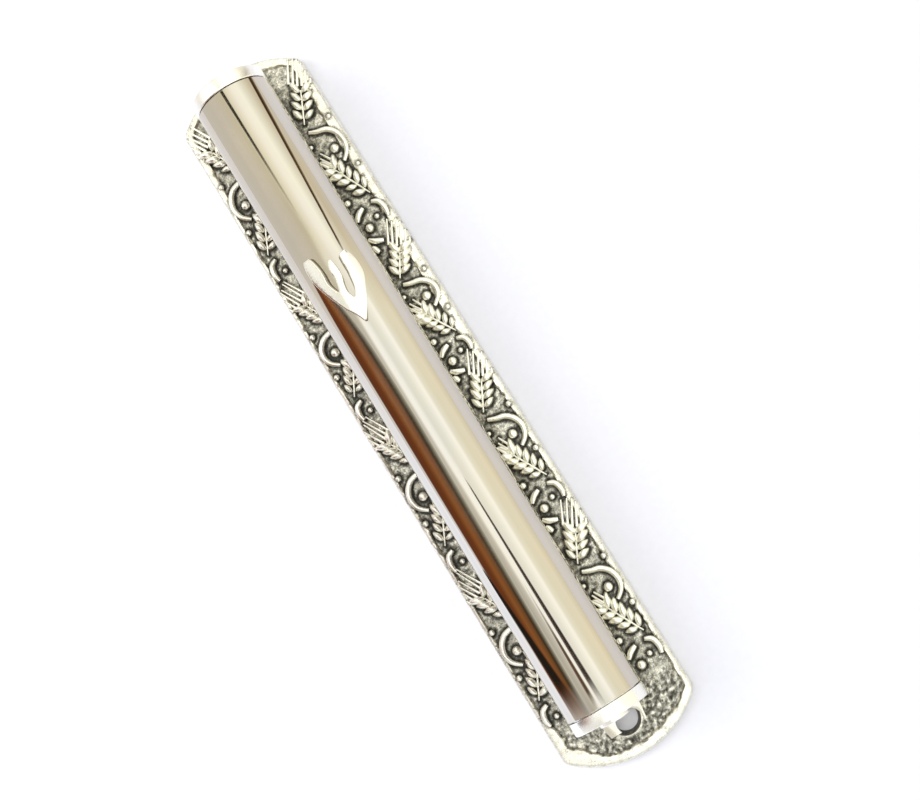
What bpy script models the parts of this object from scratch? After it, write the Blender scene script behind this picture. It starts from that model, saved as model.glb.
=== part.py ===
"""Mezuzah case: a cast backplate that carries a polished tube between two turned caps.

The case lies on its back. X runs across it, Y from its bottom end to its top end, and Z out of
the decorated face. The origin is the middle of the flat back. Every size is in metres.
"""

import math

import bmesh
import bpy
from mathutils import Matrix, Vector

# Backplate, a casting with a raised rim and two screw holes
PLATE_LENGTH = 0.170
PLATE_WIDTH = 0.031
END_RISE = 0.0062  # how far each end bows out past the corners
CORNER_RADIUS = 0.0012
GROUND_HEIGHT = 0.0018
RIM_TOP = 0.0026
SIDE_RIM = 0.0013
END_RIM = 0.0020
SCREW_HOLE_TOP_RADIUS = 0.0033
SCREW_HOLE_BACK_RADIUS = 0.0027
LOWER_HOLE_Y = -0.0770
UPPER_HOLE_Y = 0.0796

# Tube, lying along Y above the plate
TUBE_RADIUS = 0.0084
TUBE_WALL = 0.0008
TUBE_BOTTOM_Y = -0.0714
TUBE_TOP_Y = 0.0749
TUBE_AXIS_Z = 0.0130
BORE_RADIUS = TUBE_RADIUS - TUBE_WALL

# Saddle between the plate and the tube
REST_GAP = 0.0003  # kept between two pieces that touch
SADDLE_WIDTH = 0.0100
LUG_TIP_WIDTH = 0.0078
LUG_REACH = 0.0038  # how far a lug runs past the cap
LUG_ROOT_Z = 0.0041
LUG_TIP_Z = 0.0030

# End caps
CAP_BAND = 0.00305
CAP_CHAMFER = 0.0003
BOSS_RADIUS = 0.0034
BOSS_HEIGHT = 0.0011
SPIGOT_RADIUS = 0.0074
SPIGOT_LENGTH = 0.0070
SPIGOT_BORE = 0.0052
SPIGOT_BORE_DEPTH = 0.0058
GROOVE_RADIUS = 0.0064
GROOVE_WIDTH = 0.0014
GROOVE_Y = 0.0034  # from the seam to the middle of the groove
RING_CENTRE_RADIUS = 0.00703
RING_SECTION_RADIUS = 0.0005

# Rivets that hold the plate, saddle and tube together
RIVET_Y = (-0.052, 0.002, 0.056)
RIVET_SHANK_RADIUS = 0.0012
RIVET_HOLE_RADIUS = 0.00135
RIVET_FLANGE_RADIUS = 0.0023
RIVET_FLANGE_LOW = 0.0001
RIVET_FLANGE_HIGH = 0.0006
RIVET_SINK_RADIUS = 0.0026
RIVET_SINK_DEPTH = 0.0009
RIVET_BULB_RADIUS = 0.0020
RIVET_BULB_LOW = 0.0060
RIVET_BULB_HIGH = 0.0071

# Scroll in its film sleeve, lying in the lower part of the bore
SCROLL_RADIUS = 0.0035
SCROLL_CORE_RADIUS = 0.0019
SCROLL_LENGTH = 0.120
SLEEVE_RADIUS = 0.00395
SLEEVE_WALL = 0.00015
SLEEVE_LENGTH = 0.122
SLEEVE_BOTTOM_Y = TUBE_BOTTOM_Y + SPIGOT_LENGTH + 0.0010
SCROLL_AXIS_Z = RIVET_BULB_HIGH + REST_GAP + SLEEVE_RADIUS

# Three-armed emblem on the crown of the tube. Each arm is a list of (across, along, width)
# measured round the tube and up from the emblem's tip.
EMBLEM_TIP_Y = 0.0171
EMBLEM_HEIGHT = 0.0014
EMBLEM_ARMS = {
    "left": (
        (-0.0035, 0.0174, 0.0016),
        (-0.0035, 0.0158, 0.0027),
        (-0.0033, 0.0131, 0.0031),
        (-0.0029, 0.0102, 0.0022),
        (-0.0017, 0.0072, 0.0022),
        (-0.0004, 0.0050, 0.0028),
        (0.0007, 0.0028, 0.0024),
        (0.0009, 0.0003, 0.0006),
    ),
    "middle": (
        (0.0009, 0.0147, 0.0009),
        (0.0007, 0.0128, 0.0018),
        (0.0008, 0.0110, 0.0017),
        (0.0003, 0.0090, 0.0015),
        (0.0000, 0.0070, 0.0018),
        (0.0005, 0.0046, 0.0022),
    ),
    "right": (
        (0.0040, 0.0149, 0.0017),
        (0.0044, 0.0134, 0.0026),
        (0.0046, 0.0110, 0.0030),
        (0.0043, 0.0090, 0.0030),
        (0.0035, 0.0066, 0.0024),
        (0.0024, 0.0044, 0.0026),
        (0.0014, 0.0022, 0.0020),
        (0.0009, 0.0003, 0.0006),
    ),
}
EMBLEM_PINS = ((0.0004, 0.0045), (-0.0034, 0.0140))  # across, along
PIN_RADIUS = 0.0005
PIN_HOLE_RADIUS = 0.0007
PIN_TIP_RADIUS = 0.0077  # distance of a pin's tip from the tube's axis

ROUND_STEPS = 64
SMALL_STEPS = 24
ARC_STEPS = 10
SMOOTH_ANGLE = math.radians(35)

OUT_OF_PLATE = Matrix.Identity(3)
TOWARDS_TOP = Matrix.Rotation(math.radians(-90), 3, "X")
TOWARDS_BOTTOM = Matrix.Rotation(math.radians(90), 3, "X")


def clear_scene():
    """Remove whatever the scene starts with."""
    for obj in list(bpy.data.objects):
        bpy.data.objects.remove(obj, do_unlink=True)


def make_material(name, colour, roughness, metallic, alpha=1.0):
    """Principled material for one sub-part."""
    material = bpy.data.materials.new(name)
    material.use_nodes = True
    shader = material.node_tree.nodes["Principled BSDF"]
    shader.inputs["Base Color"].default_value = (*colour, 1.0)
    shader.inputs["Roughness"].default_value = roughness
    shader.inputs["Metallic"].default_value = metallic
    shader.inputs["Alpha"].default_value = alpha
    return material


def make_object(name, bm, material=None, location=(0, 0, 0), turn=OUT_OF_PLATE):
    """Turn a finished bmesh into a named object. Without a material it is a hidden cutter."""
    bmesh.ops.remove_doubles(bm, verts=bm.verts, dist=1e-7)
    bmesh.ops.recalc_face_normals(bm, faces=bm.faces)
    mesh = bpy.data.meshes.new(name)
    bm.to_mesh(mesh)
    bm.free()
    obj = bpy.data.objects.new(name, mesh)
    obj.location = location
    obj.rotation_euler = turn.to_euler()
    bpy.context.scene.collection.objects.link(obj)
    if material is None:
        obj.hide_render = True
        obj.display_type = "WIRE"
        return obj
    mesh.materials.append(material)
    mesh.shade_smooth()
    mesh.set_sharp_from_angle(angle=SMOOTH_ANGLE)
    return obj


def prism(outline, low, high):
    """Upright prism on a closed outline of (x, y) points."""
    bm = bmesh.new()
    floor = bm.faces.new([bm.verts.new((x, y, low)) for x, y in outline])
    raised = bmesh.ops.extrude_face_region(bm, geom=[floor])
    tops = [item for item in raised["geom"] if isinstance(item, bmesh.types.BMVert)]
    bmesh.ops.translate(bm, verts=tops, vec=(0, 0, high - low))
    return bm


def turned(profile, steps=ROUND_STEPS, closed=False):
    """Solid turned about Z from (radius, height) points, whose ends lie on the axis unless closed."""
    bm = bmesh.new()
    verts = [bm.verts.new((radius, 0, height)) for radius, height in profile]
    edges = [bm.edges.new(pair) for pair in zip(verts, verts[1:])]
    if closed:
        edges.append(bm.edges.new((verts[-1], verts[0])))
    bmesh.ops.spin(
        bm,
        geom=verts + edges,
        cent=(0, 0, 0),
        axis=(0, 0, 1),
        angle=2 * math.pi,
        steps=steps,
        use_merge=True,
    )
    return bm


def cylinder(radius, low, high, steps=SMALL_STEPS):
    """Plain upright cylinder about Z."""
    return turned([(0, low), (radius, low), (radius, high), (0, high)], steps)


def cut(obj, cutter, operation="DIFFERENCE"):
    """Add one live Boolean modifier."""
    modifier = obj.modifiers.new(cutter.name, "BOOLEAN")
    modifier.operation = operation
    modifier.object = cutter


def plate_outline(width, length):
    """Rectangle with bowed ends, as (x, y) points that run anticlockwise from the top right corner."""
    half = width / 2
    radius = (half**2 + END_RISE**2) / (2 * END_RISE)
    spread = math.asin(half / radius)
    centre_y = length / 2 - radius
    top = []
    for step in range(ARC_STEPS * 2 + 1):
        angle = spread - spread * step / ARC_STEPS
        top.append((radius * math.sin(angle), centre_y + radius * math.cos(angle)))
    bottom = [(-x, -y) for x, y in top]
    return top + bottom


def round_corners(bm, half_width):
    """Round the four upright edges at the corners of a plate-shaped prism."""
    corners = [
        edge
        for edge in bm.edges
        if all(abs(abs(vert.co.x) - half_width) < 1e-6 for vert in edge.verts)
        and abs(edge.verts[0].co.y - edge.verts[1].co.y) < 1e-6
    ]
    bmesh.ops.bevel(bm, geom=corners, offset=CORNER_RADIUS, segments=3, profile=0.5, affect="EDGES")


def build_backplate():
    """Cast plate: a flat back, a sunk ground inside the rim, screw holes and rivet holes."""
    pewter = make_material("cast_pewter", (0.62, 0.60, 0.52), 0.35, 1.0)
    bm = prism(plate_outline(PLATE_WIDTH, PLATE_LENGTH), 0, RIM_TOP)
    round_corners(bm, PLATE_WIDTH / 2)
    plate = make_object("backplate", bm, pewter)
    inner_width = PLATE_WIDTH - 2 * SIDE_RIM
    ground = prism(plate_outline(inner_width, PLATE_LENGTH - 2 * END_RIM), GROUND_HEIGHT, 2 * RIM_TOP)
    cut(plate, make_object("cut_ground", ground))
    for name, hole_y in (("lower", LOWER_HOLE_Y), ("upper", UPPER_HOLE_Y)):
        flare = SCREW_HOLE_TOP_RADIUS - SCREW_HOLE_BACK_RADIUS
        top_radius = SCREW_HOLE_TOP_RADIUS + flare
        profile = [
            (0, -GROUND_HEIGHT),
            (SCREW_HOLE_BACK_RADIUS - flare, -GROUND_HEIGHT),
            (top_radius, 2 * GROUND_HEIGHT),
            (0, 2 * GROUND_HEIGHT),
        ]
        hole = make_object(f"cut_{name}_screw_hole", turned(profile, SMALL_STEPS), location=(0, hole_y, 0))
        cut(plate, hole)
    for index, rivet_y in enumerate(RIVET_Y):
        profile = [
            (0, -RIM_TOP),
            (RIVET_SINK_RADIUS, -RIM_TOP),
            (RIVET_SINK_RADIUS, RIVET_SINK_DEPTH),
            (RIVET_HOLE_RADIUS, RIVET_SINK_DEPTH),
            (RIVET_HOLE_RADIUS, 2 * RIM_TOP),
            (0, 2 * RIM_TOP),
        ]
        hole = turned(profile, SMALL_STEPS)
        cut(plate, make_object(f"cut_plate_rivet_{index}", hole, location=(0, rivet_y, 0)))


def build_saddle():
    """Smooth rail that cradles the tube and ends in a tapered lug notched by each screw hole."""
    steel = make_material("satin_rail", (0.74, 0.70, 0.60), 0.3, 1.0)
    half = SADDLE_WIDTH / 2
    tip = LUG_TIP_WIDTH / 2
    low_root = TUBE_BOTTOM_Y - CAP_BAND
    high_root = TUBE_TOP_Y + CAP_BAND
    outline = [
        (half, low_root),
        (half, high_root),
        (tip, high_root + LUG_REACH),
        (-tip, high_root + LUG_REACH),
        (-half, high_root),
        (-half, low_root),
        (-tip, low_root - LUG_REACH),
        (tip, low_root - LUG_REACH),
    ]
    saddle = make_object(
        "tube_saddle", prism(outline, GROUND_HEIGHT + REST_GAP, TUBE_AXIS_Z - TUBE_RADIUS / 2), steel
    )
    trough = make_object(
        "cut_trough",
        cylinder(TUBE_RADIUS + REST_GAP, -PLATE_LENGTH, PLATE_LENGTH, 2 * ROUND_STEPS),
        location=(0, 0, TUBE_AXIS_Z),
        turn=TOWARDS_TOP,
    )
    cut(saddle, trough)
    for name, root, side in (("lower", low_root, -1), ("upper", high_root, 1)):
        slope = (LUG_ROOT_Z - LUG_TIP_Z) / LUG_REACH
        reach = 2 * LUG_REACH
        side_view = [
            (root, LUG_ROOT_Z),
            (root + side * reach, LUG_ROOT_Z - slope * reach),
            (root + side * reach, TUBE_AXIS_Z),
            (root, TUBE_AXIS_Z),
        ]
        bm = bmesh.new()
        face = bm.faces.new([bm.verts.new((-SADDLE_WIDTH, y, z)) for y, z in side_view])
        pushed = bmesh.ops.extrude_face_region(bm, geom=[face])
        moved = [item for item in pushed["geom"] if isinstance(item, bmesh.types.BMVert)]
        bmesh.ops.translate(bm, verts=moved, vec=(2 * SADDLE_WIDTH, 0, 0))
        cut(saddle, make_object(f"cut_{name}_lug_slope", bm))
    for name, hole_y in (("lower", LOWER_HOLE_Y), ("upper", UPPER_HOLE_Y)):
        notch = cylinder(SCREW_HOLE_TOP_RADIUS, 0, TUBE_AXIS_Z)
        cut(saddle, make_object(f"cut_{name}_notch", notch, location=(0, hole_y, 0)))
    for index, rivet_y in enumerate(RIVET_Y):
        hole = cylinder(RIVET_HOLE_RADIUS, 0, TUBE_AXIS_Z)
        cut(saddle, make_object(f"cut_saddle_rivet_{index}", hole, location=(0, rivet_y, 0)))


def build_tube():
    """Open tube with rivet holes underneath and two pin holes for the emblem on top."""
    nickel = make_material("polished_nickel", (0.80, 0.76, 0.68), 0.12, 1.0)
    length = TUBE_TOP_Y - TUBE_BOTTOM_Y
    profile = [(BORE_RADIUS, 0), (TUBE_RADIUS, 0), (TUBE_RADIUS, length), (BORE_RADIUS, length)]
    tube = make_object(
        "tube",
        turned(profile, closed=True),
        nickel,
        location=(0, TUBE_BOTTOM_Y, TUBE_AXIS_Z),
        turn=TOWARDS_TOP,
    )
    for index, rivet_y in enumerate(RIVET_Y):
        hole = cylinder(RIVET_HOLE_RADIUS, 0, TUBE_AXIS_Z)
        cut(tube, make_object(f"cut_tube_rivet_{index}", hole, location=(0, rivet_y, 0)))
    for index, (across, along) in enumerate(EMBLEM_PINS):
        hole = cylinder(PIN_HOLE_RADIUS, 0, 2 * TUBE_RADIUS)
        cut(tube, pin_object(f"cut_tube_pin_{index}", hole, across, along))


def pin_object(name, bm, across, along):
    """Cutter or core that stands on the tube's axis and points at a spot of the emblem."""
    angle = across / (TUBE_RADIUS + EMBLEM_HEIGHT)
    turn = Matrix.Rotation(angle, 3, "Y")
    return make_object(name, bm, location=(0, EMBLEM_TIP_Y + along, TUBE_AXIS_Z), turn=turn)


def cap_profile(grooved):
    """Half section of an end cap as (radius, height), height 0 at the seam and positive outwards."""
    profile = [
        (0, SPIGOT_BORE_DEPTH - SPIGOT_LENGTH),
        (SPIGOT_BORE, SPIGOT_BORE_DEPTH - SPIGOT_LENGTH),
        (SPIGOT_BORE, -SPIGOT_LENGTH),
        (SPIGOT_RADIUS - CAP_CHAMFER, -SPIGOT_LENGTH),
        (SPIGOT_RADIUS, CAP_CHAMFER - SPIGOT_LENGTH),
    ]
    if grooved:
        low = -GROOVE_Y - GROOVE_WIDTH / 2
        high = -GROOVE_Y + GROOVE_WIDTH / 2
        profile += [(SPIGOT_RADIUS, low), (GROOVE_RADIUS, low), (GROOVE_RADIUS, high), (SPIGOT_RADIUS, high)]
    seam = REST_GAP / 2
    profile += [
        (SPIGOT_RADIUS, seam),
        (TUBE_RADIUS - CAP_CHAMFER, seam),
        (TUBE_RADIUS, seam + CAP_CHAMFER),
        (TUBE_RADIUS, CAP_BAND - CAP_CHAMFER),
        (TUBE_RADIUS - CAP_CHAMFER, CAP_BAND),
        (BOSS_RADIUS, CAP_BAND),
        (BOSS_RADIUS, CAP_BAND + BOSS_HEIGHT - CAP_CHAMFER),
        (BOSS_RADIUS - CAP_CHAMFER, CAP_BAND + BOSS_HEIGHT),
        (0, CAP_BAND + BOSS_HEIGHT),
    ]
    return profile


def build_caps():
    """Two turned caps: the top one is bonded in, the bottom one pulls out on its sealing ring."""
    silver = make_material("polished_silver", (0.90, 0.89, 0.85), 0.08, 1.0)
    make_object(
        "top_end_cap",
        turned(cap_profile(grooved=False)),
        silver,
        location=(0, TUBE_TOP_Y, TUBE_AXIS_Z),
        turn=TOWARDS_TOP,
    )
    make_object(
        "bottom_end_cap",
        turned(cap_profile(grooved=True)),
        silver.copy(),
        location=(0, TUBE_BOTTOM_Y, TUBE_AXIS_Z),
        turn=TOWARDS_BOTTOM,
    )
    rubber = make_material("black_rubber", (0.03, 0.03, 0.03), 0.6, 0.0)
    section = []
    for step in range(10):
        angle = 2 * math.pi * step / 10
        radius = RING_CENTRE_RADIUS + RING_SECTION_RADIUS * math.cos(angle)
        section.append((radius, -GROOVE_Y + RING_SECTION_RADIUS * math.sin(angle)))
    make_object(
        "bottom_cap_ring",
        turned(section, closed=True),
        rubber,
        location=(0, TUBE_BOTTOM_Y, TUBE_AXIS_Z),
        turn=TOWARDS_BOTTOM,
    )


def build_rivets():
    """Blind rivets: a flange sunk in the back, a shank and a set bulb inside the tube."""
    profile = [
        (0, RIVET_FLANGE_LOW),
        (RIVET_FLANGE_RADIUS, RIVET_FLANGE_LOW),
        (RIVET_FLANGE_RADIUS, RIVET_FLANGE_HIGH),
        (RIVET_SHANK_RADIUS, RIVET_FLANGE_HIGH),
        (RIVET_SHANK_RADIUS, RIVET_BULB_LOW),
        (RIVET_BULB_RADIUS, RIVET_BULB_LOW + (RIVET_BULB_RADIUS - RIVET_SHANK_RADIUS) / 4),
        (RIVET_BULB_RADIUS, RIVET_BULB_HIGH - CAP_CHAMFER),
        (RIVET_BULB_RADIUS - CAP_CHAMFER, RIVET_BULB_HIGH),
        (0, RIVET_BULB_HIGH),
    ]
    aluminium = make_material("rivet_aluminium", (0.72, 0.73, 0.74), 0.4, 1.0)
    for name, rivet_y in zip(("lower", "middle", "upper"), RIVET_Y):
        rivet = turned(profile, SMALL_STEPS)
        make_object(f"{name}_tube_rivet", rivet, aluminium.copy(), location=(0, rivet_y, 0))


def build_scroll():
    """Rolled parchment inside an open sleeve of clear film."""
    parchment = make_material("parchment", (0.80, 0.70, 0.50), 0.7, 0.0)
    film = make_material("clear_film", (0.85, 0.88, 0.90), 0.1, 0.0, alpha=0.4)
    sleeve_bore = SLEEVE_RADIUS - SLEEVE_WALL
    sleeve = [
        (sleeve_bore, 0),
        (SLEEVE_RADIUS, 0),
        (SLEEVE_RADIUS, SLEEVE_LENGTH),
        (sleeve_bore, SLEEVE_LENGTH),
    ]
    make_object(
        "scroll_sleeve",
        turned(sleeve, ROUND_STEPS // 2, closed=True),
        film,
        location=(0, SLEEVE_BOTTOM_Y, SCROLL_AXIS_Z),
        turn=TOWARDS_TOP,
    )
    roll = [
        (SCROLL_CORE_RADIUS, 0),
        (SCROLL_RADIUS, 0),
        (SCROLL_RADIUS, SCROLL_LENGTH),
        (SCROLL_CORE_RADIUS, SCROLL_LENGTH),
    ]
    inset = (SLEEVE_LENGTH - SCROLL_LENGTH) / 2
    make_object(
        "parchment_scroll",
        turned(roll, ROUND_STEPS // 2, closed=True),
        parchment,
        location=(0, SLEEVE_BOTTOM_Y + inset, SCROLL_AXIS_Z),
        turn=TOWARDS_TOP,
    )


def smooth_stroke(points, between=4):
    """Points on one smooth curve through (across, along, width) points."""
    padded = [points[0], *points, points[-1]]
    smooth = []
    for before, start, end, after in zip(padded, padded[1:], padded[2:], padded[3:]):
        for step in range(between):
            t = step / between
            pulls = (
                -t + 2 * t**2 - t**3,
                2 - 5 * t**2 + 3 * t**3,
                t + 4 * t**2 - 3 * t**3,
                t**3 - t**2,
            )
            nearby = zip(before, start, end, after)
            smooth.append(tuple(sum(p * v for p, v in zip(pulls, values)) / 2 for values in nearby))
    return [*smooth, points[-1]]


def stroke_outline(points):
    """Closed outline of a stroke whose width changes along its curve."""
    smooth = smooth_stroke(points)
    left = []
    right = []
    for index, (across, along, width) in enumerate(smooth):
        ahead = Vector(smooth[min(index + 1, len(smooth) - 1)][:2])
        behind = Vector(smooth[max(index - 1, 0)][:2])
        side = (ahead - behind).normalized().orthogonal() * width / 2
        left.append((across + side.x, EMBLEM_TIP_Y + along + side.y))
        right.append((across - side.x, EMBLEM_TIP_Y + along - side.y))
    return left + right[::-1]


def build_emblem():
    """Three joined arms that follow the tube's crown, on two pins through its wall."""
    silver = make_material("emblem_silver", (0.92, 0.91, 0.88), 0.1, 1.0)
    low = TUBE_AXIS_Z + TUBE_RADIUS / 2
    high = TUBE_AXIS_Z + 2 * TUBE_RADIUS
    emblem = make_object("shin_emblem", prism(stroke_outline(EMBLEM_ARMS["left"]), low, high), silver)
    for name in ("middle", "right"):
        arm = prism(stroke_outline(EMBLEM_ARMS[name]), low, high)
        cut(emblem, make_object(f"core_{name}_arm", arm), "UNION")
    inner = TUBE_RADIUS + REST_GAP
    outer = TUBE_RADIUS + REST_GAP + EMBLEM_HEIGHT
    shell = [(inner, 0), (outer, 0), (outer, PLATE_LENGTH / 2), (inner, PLATE_LENGTH / 2)]
    keep = make_object(
        "core_emblem_shell",
        turned(shell, 2 * ROUND_STEPS, closed=True),
        location=(0, 0, TUBE_AXIS_Z),
        turn=TOWARDS_TOP,
    )
    cut(emblem, keep, "INTERSECT")
    for index, (across, along) in enumerate(EMBLEM_PINS):
        pin = cylinder(PIN_RADIUS, PIN_TIP_RADIUS, inner + EMBLEM_HEIGHT / 2, SMALL_STEPS // 2)
        cut(emblem, pin_object(f"core_pin_{index}", pin, across, along), "UNION")


def main():
    """Build the whole case."""
    clear_scene()
    build_backplate()
    build_saddle()
    build_tube()
    build_caps()
    build_rivets()
    build_scroll()
    build_emblem()


main()
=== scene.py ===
"""Looks of a mezuzah case: antique cast backplate, polished tube, turned caps and a silver emblem."""

from __future__ import annotations

import logging
import math
import random
from dataclasses import dataclass, field
from enum import Enum
from typing import Callable, Iterable, Sequence

import bmesh
import bpy
from mathutils import Matrix, Vector, kdtree, noise


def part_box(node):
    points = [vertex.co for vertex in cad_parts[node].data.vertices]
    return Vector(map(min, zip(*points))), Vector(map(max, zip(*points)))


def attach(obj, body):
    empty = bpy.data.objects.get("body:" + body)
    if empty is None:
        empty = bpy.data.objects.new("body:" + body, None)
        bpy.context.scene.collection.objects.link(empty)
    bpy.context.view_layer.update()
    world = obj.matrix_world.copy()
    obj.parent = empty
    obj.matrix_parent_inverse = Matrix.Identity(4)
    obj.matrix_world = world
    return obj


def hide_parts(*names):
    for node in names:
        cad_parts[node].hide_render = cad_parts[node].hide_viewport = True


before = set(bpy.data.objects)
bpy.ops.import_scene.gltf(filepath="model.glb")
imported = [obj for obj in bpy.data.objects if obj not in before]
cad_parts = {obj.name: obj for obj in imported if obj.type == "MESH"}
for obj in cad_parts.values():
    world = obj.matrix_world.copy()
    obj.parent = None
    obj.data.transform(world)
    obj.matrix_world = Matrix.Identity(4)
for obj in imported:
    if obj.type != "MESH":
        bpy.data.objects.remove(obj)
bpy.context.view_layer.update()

LOG = logging.getLogger("mezuzah_case")
MM = 0.001
# Mesh attribute read by the pewter and emblem colours: wear and patina, plus painted shade beside the tube
# and at the emblem's foot.
WEAR_AND_SHADE = "wear_and_painted_shade"
RIVETS = ("lower_tube_rivet", "middle_tube_rivet", "upper_tube_rivet")
RIVET_WAY = 1.35 * MM
SCREW_HOLES = (-77.0 * MM, 79.6 * MM)

Point2 = tuple[float, float]
Colour = tuple[float, float, float]


class Body(Enum):
    """Bodies of the case that a piece can ride on."""

    CASE = "case"
    BOTTOM_CAP = "bottom_cap"
    SCROLL = "scroll"


class End(Enum):
    """The two ends of the case, as the sign of their direction along Y."""

    TOP = 1
    BOTTOM = -1


class Side(Enum):
    """The two decorated strips, as the sign of X."""

    RIGHT = 1
    LEFT = -1


# ---------------------------------------------------------------------------------------------
# Working tools
# ---------------------------------------------------------------------------------------------


def deselect() -> None:
    """Leave edit mode and clear the selection."""
    if bpy.context.mode != "OBJECT":
        bpy.ops.object.mode_set(mode="OBJECT")
    bpy.ops.object.select_all(action="DESELECT")


def activate(obj: bpy.types.Object) -> bpy.types.Object:
    """Make one object the only selected one.

    Args:
        obj: The object to work on.

    Returns:
        The same object.
    """
    deselect()
    obj.select_set(True)
    bpy.context.view_layer.objects.active = obj
    return obj


def named(name: str) -> bpy.types.Object:
    """Name the active object and its mesh.

    Args:
        name: Name for both.

    Returns:
        The active object.
    """
    obj = bpy.context.active_object
    obj.name = name
    obj.data.name = name
    return obj


def apply_modifier(obj: bpy.types.Object, kind: str, **settings: object) -> None:
    """Add a modifier, set it and apply it.

    Args:
        obj: The object that gets it.
        kind: Blender's modifier type.
        **settings: Values for the modifier's properties.
    """
    activate(obj)
    modifier = obj.modifiers.new(kind.title(), kind)
    for key, value in settings.items():
        setattr(modifier, key, value)
    bpy.ops.object.modifier_apply(modifier=modifier.name)


def cut_away(obj: bpy.types.Object, cutters: Iterable[bpy.types.Object]) -> None:
    """Subtract each cutter from an object and delete it.

    Args:
        obj: The object that is cut.
        cutters: Closed meshes.
    """
    for cutter in cutters:
        apply_modifier(obj, "BOOLEAN", operation="DIFFERENCE", object=cutter, solver="EXACT")
        bpy.data.objects.remove(cutter, do_unlink=True)


def join(pieces: Sequence[bpy.types.Object], name: str) -> bpy.types.Object:
    """Join several objects into one.

    Args:
        pieces: The objects, at least one.
        name: Name of the result.

    Returns:
        The joined object.
    """
    activate(pieces[0])
    for piece in pieces:
        piece.select_set(True)
    bpy.ops.object.join()
    return named(name)


def copy_of(template: bpy.types.Object, place: Matrix) -> bpy.types.Object:
    """Copy a template with a mesh of its own.

    Args:
        template: Object at the origin.
        place: Where the copy's mesh goes.

    Returns:
        The new object.
    """
    piece = template.copy()
    piece.data = template.data.copy()
    piece.data.transform(place)
    bpy.context.scene.collection.objects.link(piece)
    return piece


def close_up(obj: bpy.types.Object, weld: float = 1e-7) -> None:
    """Merge doubled points and turn every face outwards.

    Args:
        obj: The object to tidy.
        weld: Points this close become one.
    """
    activate(obj)
    bpy.ops.object.mode_set(mode="EDIT")
    bpy.ops.mesh.select_all(action="SELECT")
    bpy.ops.mesh.remove_doubles(threshold=weld)
    bpy.ops.mesh.normals_make_consistent(inside=False)
    bpy.ops.object.mode_set(mode="OBJECT")


def smooth(obj: bpy.types.Object, degrees: float = 40.0) -> None:
    """Shade an object smooth, with edges sharper than an angle kept.

    Args:
        obj: The object to shade.
        degrees: Smallest angle that stays sharp.
    """
    activate(obj)
    bpy.ops.object.shade_smooth_by_angle(angle=math.radians(degrees))


def put(obj: bpy.types.Object, place: Matrix) -> bpy.types.Object:
    """Move a piece by its mesh, so that the object stays at the origin.

    Args:
        obj: Object at the origin.
        place: Where the mesh goes.

    Returns:
        The same object.
    """
    obj.data.transform(place)
    return obj


def mount(
    obj: bpy.types.Object, material: bpy.types.Material, body: Body, slot: str, *nodes: str
) -> bpy.types.Object:
    """Dress a finished piece and fix it to its body.

    Args:
        obj: The finished piece.
        material: Its only material.
        body: The body it rides on.
        slot: Name of the record's material slot; not used.
        *nodes: The CAD nodes it stands for.

    Returns:
        The same piece.
    """
    obj.data.materials.clear()
    obj.data.materials.append(material)
    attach(obj, body.value)
    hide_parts(*nodes)
    LOG.info("%s: %d faces on %s", obj.name, len(obj.data.polygons), body.value)
    return obj


def turned(name: str, profile: Sequence[Point2], steps: int) -> bpy.types.Object:
    """Turn a solid about Z: a disc is extruded and scaled along the profile, as on a lathe.

    Args:
        name: Name of the piece.
        profile: (radius, height) points; the first and last close with a flat disc.
        steps: Sides of the disc.

    Returns:
        The closed solid.
    """
    deselect()
    radius, height = profile[0]
    bpy.ops.mesh.primitive_circle_add(
        vertices=steps, radius=radius, fill_type="NGON", location=(0, 0, 0)
    )
    piece = named(name)
    bpy.ops.object.mode_set(mode="EDIT")
    bpy.ops.mesh.select_all(action="SELECT")
    bpy.ops.transform.translate(value=(0, 0, height))
    for next_radius, next_height in profile[1:]:
        bpy.ops.mesh.extrude_region_move(
            TRANSFORM_OT_translate={"value": (0, 0, next_height - height)}
        )
        ratio = next_radius / radius
        bpy.ops.transform.resize(value=(ratio, ratio, 1), center_override=(0, 0, next_height))
        radius, height = next_radius, next_height
    bpy.ops.object.mode_set(mode="OBJECT")
    close_up(piece)
    return piece


def ring_solid(name: str, profile: Sequence[Point2], steps: int) -> bpy.types.Object:
    """Turn a closed profile that stays clear of the axis, by spinning it about Z.

    Args:
        name: Name of the piece.
        profile: Closed loop of (radius, height) points.
        steps: Sides of the ring.

    Returns:
        The closed ring.
    """
    deselect()
    bpy.ops.mesh.primitive_circle_add(vertices=len(profile), radius=1, fill_type="NOTHING")
    ring = named(name)
    for vert, (radius, height) in zip(ring.data.vertices, profile):
        vert.co = (radius, 0, height)
    bpy.ops.object.mode_set(mode="EDIT")
    bpy.ops.mesh.select_all(action="SELECT")
    bpy.ops.mesh.spin(steps=steps, angle=2 * math.pi, center=(0, 0, 0), axis=(0, 0, 1))
    bpy.ops.object.mode_set(mode="OBJECT")
    close_up(ring, 1e-6)
    return ring


def raised(name: str, outline: Sequence[Point2], low: float, high: float) -> bpy.types.Object:
    """Extrude a flat outline upwards.

    Args:
        name: Name of the piece.
        outline: Closed outline of (x, y) points.
        low: Height of its floor.
        high: Height of its top.

    Returns:
        The closed prism.
    """
    deselect()
    bpy.ops.mesh.primitive_circle_add(vertices=len(outline), radius=1, fill_type="NGON")
    piece = named(name)
    for vert, (x, y) in zip(piece.data.vertices, outline):
        vert.co = (x, y, low)
    bpy.ops.object.mode_set(mode="EDIT")
    bpy.ops.mesh.select_all(action="SELECT")
    bpy.ops.mesh.extrude_region_move(TRANSFORM_OT_translate={"value": (0, 0, high - low)})
    bpy.ops.object.mode_set(mode="OBJECT")
    close_up(piece)
    return piece


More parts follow.
